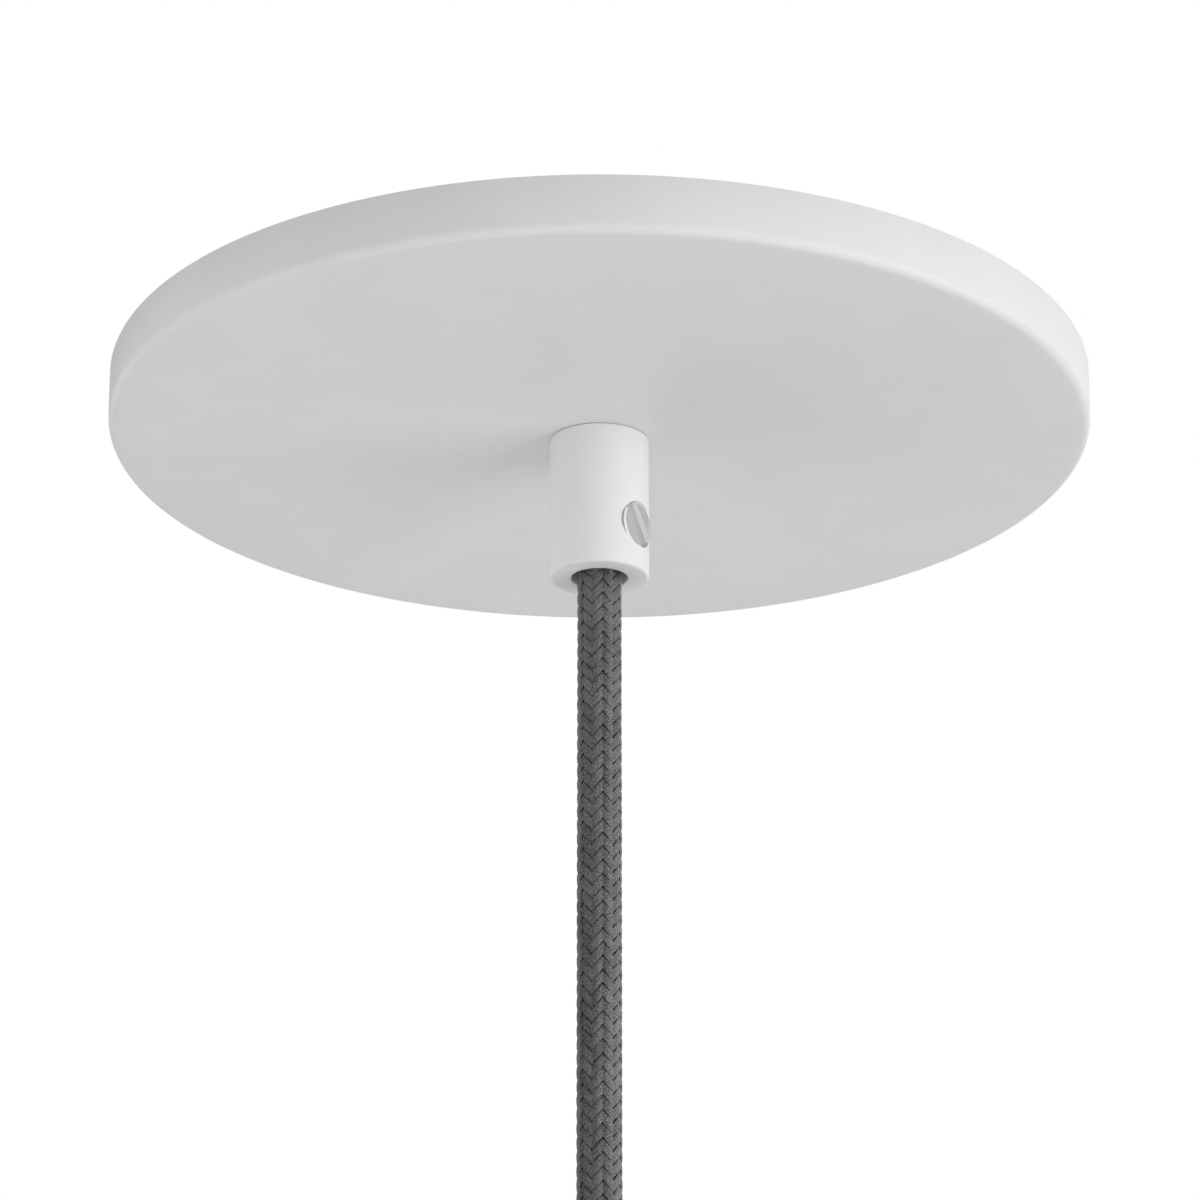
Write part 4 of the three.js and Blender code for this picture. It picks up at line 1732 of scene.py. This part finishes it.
@dataclass
class TerminalBlock:
    """The three-pole block: a moulded body, a brass sleeve in each pole and two screws in each."""

    pitch: float = 10.0
    base_height: float = 8.0
    tower: float = 3.3
    tower_inset: float = 3.7
    tower_root: float = 1.0
    tower_round: float = 0.4
    well: float = 2.0
    tunnel: float = 2.4
    tunnel_wall: float = 1.2
    sleeve_bore: float = 1.3
    sleeve_hole: float = 1.7
    sleeve_mouth: float = 0.25
    sleeve_edge: float = 0.12
    grub_pitch: float = 0.5
    grub_thread_depth: float = 0.2
    grub_slot_width: float = 0.7
    grub_slot_depth: float = 0.9
    grub_turn: float = 37.0
    block_hole: float = 1.7
    notch_width: float = 1.5
    notch_depth: float = 2.6
    edge: float = 0.35
    overcut: float = 1.0
    hole_sides: int = 32
    sides: int = 40

    def build(self) -> None:
        """Builds and dresses the block with its metal pieces."""
        space = Extent.of("terminal_block")
        self.centre = space.middle
        self.half_depth = space.radius
        self.tunnel_height = space.low.z + self.base_height - self.tunnel_wall - self.tunnel
        self.tower_place = self.half_depth - self.tower_inset
        self.poles = (-self.pitch, 0.0, self.pitch)
        self.build_body(space)
        self.build_sleeves()
        self.build_terminal_screws()
        names = ("block_screw_1", "block_screw_2")
        M3_SCREW.build_pair(names, ("block_screw_front", "block_screw_back"), head_up=True)

    def build_body(self, space: Extent) -> None:
        """Builds the moulded body.

        Args:
            space: the space of the block's solid.
        """
        low, high = space.low.copy(), space.high.copy()
        high.z = low.z + self.base_height
        below, above = low.z - self.overcut, high.z + self.overcut
        piece = block("moulded_block", low, high)
        x = self.centre.x
        towers = [(x + side * self.tower_place, y) for y in self.poles for side in (-1, 1)]
        between = (-self.pitch / 2, self.pitch / 2)
        for y in between:
            for side in (-1, 1):
                outer = x + side * (self.half_depth + self.overcut)
                inner = x + side * (self.half_depth - self.notch_depth)
                near, far = sorted((outer, inner))
                half = self.notch_width / 2
                notch = block("notch", (near, y - half, below), (far, y + half, above))
                combine(piece, notch, Cut.AWAY)
        round_edges(piece, self.edge, 3)
        for at in towers:
            foot, top = high.z - self.tower_root, space.high.z
            tower = cylinder("tower", self.tower, foot, top, self.sides, at)
            with Shaping(tower) as shaping:
                shaping.round_ring(self.tower, top, self.tower_round, 3, at)
            combine(piece, tower, Cut.JOIN)
        reach = self.half_depth + self.overcut
        for i, y in enumerate(self.poles):
            tunnel = cylinder("tunnel", self.tunnel, -reach, reach, self.hole_sides)
            moved(tunnel, step(x, y, self.tunnel_height) @ turn(90, "Y"))
            combine(piece, tunnel, Cut.AWAY)
            for at in towers[2 * i : 2 * i + 2]:
                top = space.high.z + self.overcut
                drill(piece, self.well, self.tunnel_height, top, self.hole_sides, at)
        for y in between:
            drill(piece, self.block_hole, below, above, self.hole_sides, (x, y))
        smooth(piece)
        dress(piece, POLYAMIDE, "white_polyamide", "terminal_block")

    def build_sleeves(self) -> None:
        """Builds one brass sleeve and copies it to the other poles."""
        space = Extent.of("terminal_sleeve_1")
        half, radius = space.radius, (space.high.y - space.low.y) / 2
        first = cylinder("brass_sleeve_1", radius, -half, half, self.sides)
        with Shaping(first) as shaping:
            shaping.pierce(radius, self.sleeve_bore, -half, half)
            for height in (-half, half):
                shaping.round_ring(self.sleeve_bore, height, self.sleeve_mouth, 2)
                shaping.round_ring(radius, height, self.sleeve_edge, 2)
        moved(first, turn(90, "Y"))
        for side in (-1, 1):
            at = (side * self.tower_place, 0)
            drill(first, self.sleeve_hole, 0, radius + self.overcut, self.hole_sides, at)
        smooth(first)
        moved(first, step(self.centre.x, self.poles[0], self.tunnel_height))
        sleeves = [first] + [
            copied(first, f"brass_sleeve_{i + 1}", step(0, y - self.poles[0], 0))
            for i, y in enumerate(self.poles) if i
        ]
        for i, sleeve in enumerate(sleeves):
            dress(sleeve, BRASS, "brass", f"terminal_sleeve_{i + 1}")

    def build_terminal_screws(self) -> None:
        """Builds one grub screw and copies it to the six places."""
        space = Extent.of("terminal_screw_left_1")
        low, high, radius = space.low.z, space.high.z, space.radius
        root = radius - self.grub_thread_depth
        first = Thread(radius, root, self.grub_pitch, low, high).build("grub_screw")
        half, reach = self.grub_slot_width / 2, radius * 2
        foot = high - self.grub_slot_depth
        slot = block("slot", (-half, -reach, foot), (half, reach, high + self.overcut))
        combine(first, slot, Cut.AWAY)
        smooth(first)
        for i, y in enumerate(self.poles):
            for name, side in (("left", -1), ("right", 1)):
                place = step(self.centre.x + side * self.tower_place, y, 0)
                spin = turn(self.grub_turn * (i + 1) * (side + 2), "Z")
                screw = copied(first, f"grub_screw_{name}_{i + 1}", place @ spin)
                dress(screw, ZINC_SCREW, "zinc_steel", f"terminal_screw_{name}_{i + 1}")
        remove(first)


@dataclass
class EarthFitting:
    """The earth terminal on the crossbar: a crimped tag under a screw, on a toothed washer."""

    hole: float = 2.2
    neck: float = 1.5
    neck_overlap: float = 0.6
    barrel: float = 1.5
    barrel_length: float = 4.0
    barrel_start: float = 0.25
    barrel_end: float = 0.15
    barrel_bore: float = 1.0
    bore_start: float = 1.0
    dent: float = 0.75
    dent_place: float = 2.1
    dent_height: float = 0.35
    thickness: float = 0.8
    edge: float = 0.15
    hole_reach: tuple[float, float] = (-1.0, 2.0)
    hole_sides: int = 48
    dent_sides: int = 24
    sides: int = 32

    def build(self) -> None:
        """Builds and dresses the washer, the tag and the screw."""
        washer = ToothedWasher(self.hole, teeth=8, depth=0.7, twist=0.08)
        washer.build("earth_lock_washer", "earth_washer")
        self.build_tag()
        screw = M4_SCREW.build("earth_fixing_screw", "earth_screw", head_up=True)
        dress(screw, ZINC_SCREW, "zinc_steel", "earth_screw")

    def build_tag(self) -> None:
        """Builds the flat eye, the neck and the crimped barrel of the tag."""
        space = Extent.of("earth_tag")
        low, start = space.low.z, space.high.y - self.barrel_length
        top = low + self.thickness
        eye = cylinder("earth_eye", space.radius, low, top, self.sides * 2)
        neck = block("neck", (-self.neck, 0, low), (self.neck, start + self.neck_overlap, top))
        combine(eye, neck, Cut.JOIN)
        barrel = cylinder("barrel", self.barrel, 0, self.barrel_length, self.sides)
        with Shaping(barrel) as shaping:
            shaping.round_ring(self.barrel, 0, self.barrel_start, 2)
            shaping.round_ring(self.barrel, self.barrel_length, self.barrel_end, 2)
        moved(barrel, step(0, start, low + self.barrel) @ turn(-90, "X"))
        combine(eye, barrel, Cut.JOIN)
        bore = cylinder("bore", self.barrel_bore, 0, self.barrel_length, self.sides)
        moved(bore, step(0, start + self.bore_start, low + self.barrel) @ turn(-90, "X"))
        combine(eye, bore, Cut.AWAY)
        dent = cylinder("dent", self.dent, -self.barrel, self.barrel, self.dent_sides)
        height = low + self.barrel * 2 + self.dent_height
        moved(dent, step(0, start + self.dent_place, height) @ turn(90, "Y"))
        combine(eye, dent, Cut.AWAY)
        ends = [low + reach for reach in self.hole_reach]
        drill(eye, self.hole, *ends, self.hole_sides)
        round_edges(eye, self.edge, 2)
        smooth(eye)
        moved(eye, step(space.middle.x, 0, 0))
        dress(eye, TINNED_COPPER, "tinned_copper", "earth_tag")


@dataclass
class Wire:
    """An insulated wire along a smooth route. Its UV map goes once round it, then along it in mm."""

    name: str
    route: Sequence[tuple[float, float, float]]
    radius: float = 1.0
    sides: int = 20
    samples: int = 6
    edge: float = 0.15

    def build(self) -> bpy.types.Object:
        """Builds the wire in mesh code.

        Returns:
            The wire, with slightly rounded ends.
        """
        path = self.smooth_path()
        ways = np.gradient(path, axis=0)
        ways /= np.linalg.norm(ways, axis=1)[:, None]
        path = np.concatenate([path[:1], path, path[-1:]])
        ways = np.concatenate([ways[:1], ways, ways[-1:]])
        size = np.full(len(path), self.radius)
        size[[0, -1]] -= self.edge
        path[1] += ways[1] * self.edge
        path[-2] -= ways[-2] * self.edge
        side = np.cross(ways[0], (0.3, 0.9, 0.1))
        turns = np.arange(self.sides) / self.sides * math.tau
        points, length, lengths = [], 0.0, []
        for i, (place, way) in enumerate(zip(path, ways)):
            side = side - way * np.dot(side, way)
            side /= np.linalg.norm(side)
            up = np.cross(way, side)
            circle = np.outer(np.cos(turns), side) + np.outer(np.sin(turns), up)
            points.append(place + circle * size[i])
            length += float(np.linalg.norm(place - path[i - 1])) if i else 0.0
            lengths.append(length)
        faces, uvs = tube_faces(len(lengths), self.sides), tube_map(lengths, self.sides)
        piece = mesh_piece(self.name, np.concatenate(points), faces, uvs, "wire")
        smooth(piece)
        return piece

    def smooth_path(self) -> np.ndarray:
        """Draws a smooth curve through the route's points.

        Returns:
            The curve's points, in millimetres.
        """
        route = np.array(self.route, float)
        route = np.concatenate([[2 * route[0] - route[1]], route, [2 * route[-1] - route[-2]]])
        curve = []
        for a, b, c, d in zip(route, route[1:], route[2:], route[3:]):
            ab, bc, cd = (np.linalg.norm(q - p) ** 0.5 for p, q in ((a, b), (b, c), (c, d)))
            leave = ((b - a) / ab - (c - a) / (ab + bc) + (c - b) / bc) * bc
            arrive = ((c - b) / bc - (d - b) / (bc + cd) + (d - c) / cd) * bc
            for t in np.arange(self.samples) / self.samples:
                curve.append(
                    b + leave * t + (3 * (c - b) - 2 * leave - arrive) * t**2
                    + (2 * (b - c) + leave + arrive) * t**3
                )
        return np.array(curve + [route[-2]])


@dataclass
class Wiring:
    """The cord's three conductors on their way to the terminals, and the earth lead."""

    loop: float = 5.7
    way: tuple[tuple[float, float, float], ...] = (
        (0, 0, 0),
        (0, 0.04, 0.36),
        (0.03, 0.36, 0.8),
        (0.17, 0.84, 1),
        (0.44, 1.1, 0.7),
        (0.68, 1.05, 0.22),
        (0.84, 1, 0.01),
        (0.93, 1, 0),
        (1, 1, 0),
    )
    start_height: float = 4.5
    terminal_height: float = 4.45
    entry: float = 14.7
    lead: tuple[tuple[float, float, float], ...] = (
        (29.3, 10, 4.45),
        (32.3, 10, 4.45),
        (35.3, 13, 4.45),
        (35.3, 18, 5),
        (30.8, 21, 5),
        (19, 21.75, 5),
        (0, 21, 5),
        (-11, 18, 3.6),
        (-19, 14.2, 2.2),
        (-20, 11.2, 2.2),
        (-20, 9.7, 2.2),
    )

    def build(self) -> None:
        """Builds and dresses the four wires."""
        climb = self.terminal_height - self.start_height
        for core in CORES:
            x, y = core.place()
            route = [
                (
                    x + (self.entry - x) * along,
                    y + (core.pole - y) * across,
                    self.start_height + climb * along + self.loop * up,
                )
                for along, across, up in self.way
            ]
            wire = Wire(f"{core.name}_conductor", route).build()
            dress(wire, core.finish, core.slot, f"conductor_{core.name}")
        dress(Wire("earth_wire", self.lead).build(), EARTH_PVC, "earth_sheath", "earth_lead")


@dataclass
class CordEnd:
    """The cord's lower end, made ready for a lamp holder: a shrunk sleeve, tails and ferrules."""

    cord: float = 2.7
    sleeve_wall: float = 0.45
    tip_hole: float = 2.575
    splay: float = 1.6
    tail_top: float = -112.3
    tail_length: float = 12.0
    tail_bends: tuple[float, float] = (0.4, 0.8)
    core: float = 0.55
    ferrule_wall: float = 0.25
    ferrule_mouth: float = 0.5
    crimp_cuts: tuple[float, ...] = (0.12, 0.2, 0.36, 0.44, 0.6, 0.68, 0.84, 0.9)
    crimps: tuple[float, ...] = (0.2, 0.36, 0.6, 0.68)
    crimp_squeeze: float = 0.86
    sleeve_sides: int = 64
    ferrule_sides: int = 32

    def build(self) -> list[bpy.types.Object]:
        """Builds and dresses the pieces.

        Returns:
            The pieces on the cord.
        """
        pieces = [self.build_sleeve()]
        first = self.build_ferrule()
        top, length = self.tail_top, self.tail_length
        for core in CORES:
            x, y = core.place()
            far_x, far_y = x * self.splay, y * self.splay
            route = [
                (x, y, top),
                (x, y, top - length * self.tail_bends[0]),
                (far_x, far_y, top - length * self.tail_bends[1]),
                (far_x, far_y, top - length),
            ]
            tail = Wire(f"{core.name}_tail", route).build()
            pieces.append(dress(tail, core.finish, core.slot, f"tail_{core.name}"))
            place = step(far_x, far_y, 0) @ turn(core.bearing, "Z")
            ferrule = copied(first, f"{core.name}_ferrule", place)
            pieces.append(dress(ferrule, TINNED_COPPER, "tinned_copper", f"ferrule_{core.name}"))
        remove(first)
        return pieces

    def build_sleeve(self) -> bpy.types.Object:
        """Builds the sleeve, shrunk on the braid and drawn in round the tails.

        Returns:
            The sleeve.
        """
        space = Extent.of("end_sleeve")
        low, high, outer = space.low.z, space.high.z, space.radius
        tip = self.tip_hole + self.sleeve_wall
        # Up the outside, with the waves that shrinking leaves, and down the inside
        outline = [
            (self.tip_hole, low),
            (tip - 0.15, low),
            (tip, low + 0.15),
            (tip + 0.02, low + 0.8),
            (outer - 0.12, low + 2.3),
            (outer - 0.02, low + 3.0),
            (outer - 0.05, low + 4.6),
            (outer, low + 6.0),
            (outer - 0.04, high - 1.2),
            (outer - 0.02, high - 0.25),
            (outer - 0.12, high),
            (self.cord + 0.14, high),
            (self.cord + 0.05, high - 0.2),
            (self.cord + 0.05, low + 2.7),
            (self.tip_hole, low + 2.7),
        ]
        piece = turned("shrunk_sleeve", outline, self.sleeve_sides)
        smooth(piece)
        return dress(piece, RUBBER, "black_rubber", "end_sleeve")

    def build_ferrule(self) -> bpy.types.Object:
        """Builds a ferrule about the vertical axis, squeezed by the crimping tool.

        Returns:
            The ferrule.
        """
        space = Extent.of("ferrule_earth")
        low, high, outer = space.low.z, space.high.z, self.core + self.ferrule_wall
        piece = cylinder("crimped_ferrule", outer, low, high, self.ferrule_sides)
        with Shaping(piece) as shaping:
            shaping.pick(Pick.FACE, level(low))
            shaping.inset(self.ferrule_wall)
            shaping.extrude(0, 0, self.ferrule_mouth)
            for share in self.crimp_cuts:
                height = low + (high - low) * share
                bpy.ops.mesh.select_all(action="SELECT")
                bpy.ops.mesh.bisect(
                    plane_co=(0, 0, height * MM), plane_no=(0, 0, 1), threshold=CUT_THRESHOLD
                )
            for share in self.crimps:
                height = low + (high - low) * share
                shaping.pick(Pick.VERT, lambda points: abs(points[0].z - height) < NEAR)
                squeeze = (self.crimp_squeeze, 1.0, 1)
                bpy.ops.transform.resize(value=squeeze, center_override=(0, 0, 0))
        smooth(piece)
        return piece


@dataclass(frozen=True)
class Lamp:
    """A soft square lamp that faces the part. Its share is the light on a surface that faces it."""

    name: str
    azimuth: float
    elevation: float
    share: float
    size: float

    def build(self, distance: float) -> None:
        """Adds the lamp. Its bearing goes from the right towards the viewer.

        Args:
            distance: how far it stands from the part, in millimetres.
        """
        lamp = bpy.data.lights.new(self.name, "AREA")
        lamp.shape = "SQUARE"
        lamp.size = self.size * MM
        lamp.energy = self.share * (math.pi * distance * MM) ** 2
        bearing, rise = math.radians(self.azimuth), math.radians(self.elevation)
        way = Vector((math.cos(bearing), -math.sin(bearing), 0)) * math.cos(rise)
        way.z = math.sin(rise)
        holder = bpy.data.objects.new(self.name, lamp)
        holder.location = way * distance * MM
        holder.rotation_euler = (-way).to_track_quat("-Z", "Y").to_euler()
        bpy.context.scene.collection.objects.link(holder)


@dataclass
class Studio:
    """Soft light from the right and the front, a pale floor and a white surround."""

    floor_height: float = -850.0
    floor_size: float = 40000.0
    floor_colour: str = "f2f2f2"
    floor_glow: float = 0.7
    surround_level: float = 0.465
    mirrored: tuple[float, float] = (0.05, 1.5)
    mirrored_span: tuple[float, float] = (-0.4, 0.8)
    lamps: tuple[Lamp, ...] = (
        Lamp("key", azimuth=27, elevation=-18, share=0.54, size=1200),
        Lamp("front", azimuth=90, elevation=-15, share=0.10, size=1000),
        Lamp("fill", azimuth=195, elevation=-14, share=0.55, size=2200),
    )
    lamp_distance: float = 1300.0

    def build(self) -> None:
        """Adds the lights, the floor and the surround."""
        for lamp in self.lamps:
            lamp.build(self.lamp_distance)
        self.add_floor()
        self.add_surround()
        bpy.context.scene.view_settings.view_transform = "Standard"

    def seen_rays(self, tree: bpy.types.NodeTree) -> bpy.types.NodeSocket:
        """Finds the rays that come from the camera or a clear material.

        Args:
            tree: the node tree.

        Returns:
            One for such a ray, else zero.
        """
        rays = add_node(tree, "ShaderNodeLightPath").outputs
        return maths(
            tree, "MAXIMUM", {}, {0: rays["Is Camera Ray"], 1: rays["Is Transmission Ray"]}
        )

    def soft_strength(self, tree: bpy.types.NodeTree) -> bpy.types.NodeSocket:
        """Makes the surround even, but brighter to the right where it is mirrored.

        Args:
            tree: the world's node tree.

        Returns:
            Its strength.
        """
        level = self.surround_level
        glossy = add_node(tree, "ShaderNodeLightPath").outputs["Is Glossy Ray"]
        way = add_node(tree, "ShaderNodeTexCoord").outputs["Generated"]
        sideways = add_node(tree, "ShaderNodeSeparateXYZ", sources={"Vector": way}).outputs["X"]
        left, right = (end - level for end in self.mirrored)
        more = rescaled(tree, sideways, self.mirrored_span, (left, right))
        return maths(tree, "MULTIPLY_ADD", {2: level}, {0: glossy, 1: more})

    def mixed(
        self,
        tree: bpy.types.NodeTree,
        share: bpy.types.NodeSocket,
        first: bpy.types.NodeSocket,
        second: bpy.types.NodeSocket,
    ) -> bpy.types.NodeSocket:
        """Mixes two shaders.

        Args:
            tree: the node tree.
            share: the second one's share.
            first: the first shader.
            second: the second shader.

        Returns:
            The mixed shader.
        """
        sources = {0: share, 1: first, 2: second}
        return add_node(tree, "ShaderNodeMixShader", sources=sources).outputs["Shader"]

    def add_floor(self) -> None:
        """Adds the floor, which is seen from above only and keeps the part's shadow."""
        deselect()
        bpy.ops.mesh.primitive_plane_add(
            size=self.floor_size * MM, location=(0, 0, self.floor_height * MM)
        )
        floor = settle("floor")
        material = bpy.data.materials.new("pale_floor")
        material.use_nodes = True
        tree = material.node_tree
        tree.nodes.clear()
        plain = add_node(tree, "ShaderNodeBsdfDiffuse", {"Color": linear(self.floor_colour)})
        values = {"Color": linear("ffffff"), "Strength": self.floor_glow}
        glow = add_node(tree, "ShaderNodeEmission", values).outputs["Emission"]
        plain = plain.outputs["BSDF"]
        both = add_node(tree, "ShaderNodeAddShader", sources={0: plain, 1: glow}).outputs["Shader"]
        seen = self.mixed(tree, self.seen_rays(tree), plain, both)
        clear = add_node(tree, "ShaderNodeBsdfTransparent").outputs["BSDF"]
        back = add_node(tree, "ShaderNodeNewGeometry").outputs["Backfacing"]
        sided = self.mixed(tree, back, seen, clear)
        add_node(tree, "ShaderNodeOutputMaterial", sources={"Surface": sided})
        floor.data.materials.append(material)

    def add_surround(self) -> None:
        """Makes the world white where it is seen, and a plain soft light elsewhere."""
        world = bpy.data.worlds.new("surround")
        bpy.context.scene.world = world
        world.use_nodes = True
        tree = world.node_tree
        tree.nodes.clear()
        white = {"Color": linear("ffffff"), "Strength": 1.0}
        strength = {"Strength": self.soft_strength(tree)}
        soft, plain = (
            add_node(tree, "ShaderNodeBackground", white, sources).outputs["Background"]
            for sources in (strength, None)
        )
        surface = self.mixed(tree, self.seen_rays(tree), soft, plain)
        add_node(tree, "ShaderNodeOutputWorld", sources={"Surface": surface})


def main() -> None:
    """Builds the camera, the cord, the other pieces and the studio, in that order."""
    logging.basicConfig(level=logging.INFO, format="%(name)s: %(message)s")
    PhotoCamera().build()
    cord = PendantCord().build()
    cord_end = CordEnd().build()
    Extent.of("cord_grip").low.z * MM
    CeilingCover().build()
    CordGrip().build()
    Suspension().build()
    Crossbar().build()
    TerminalBlock().build()
    EarthFitting().build()
    Wiring().build()
    Studio().build()


if __name__ == "__main__":
    main()
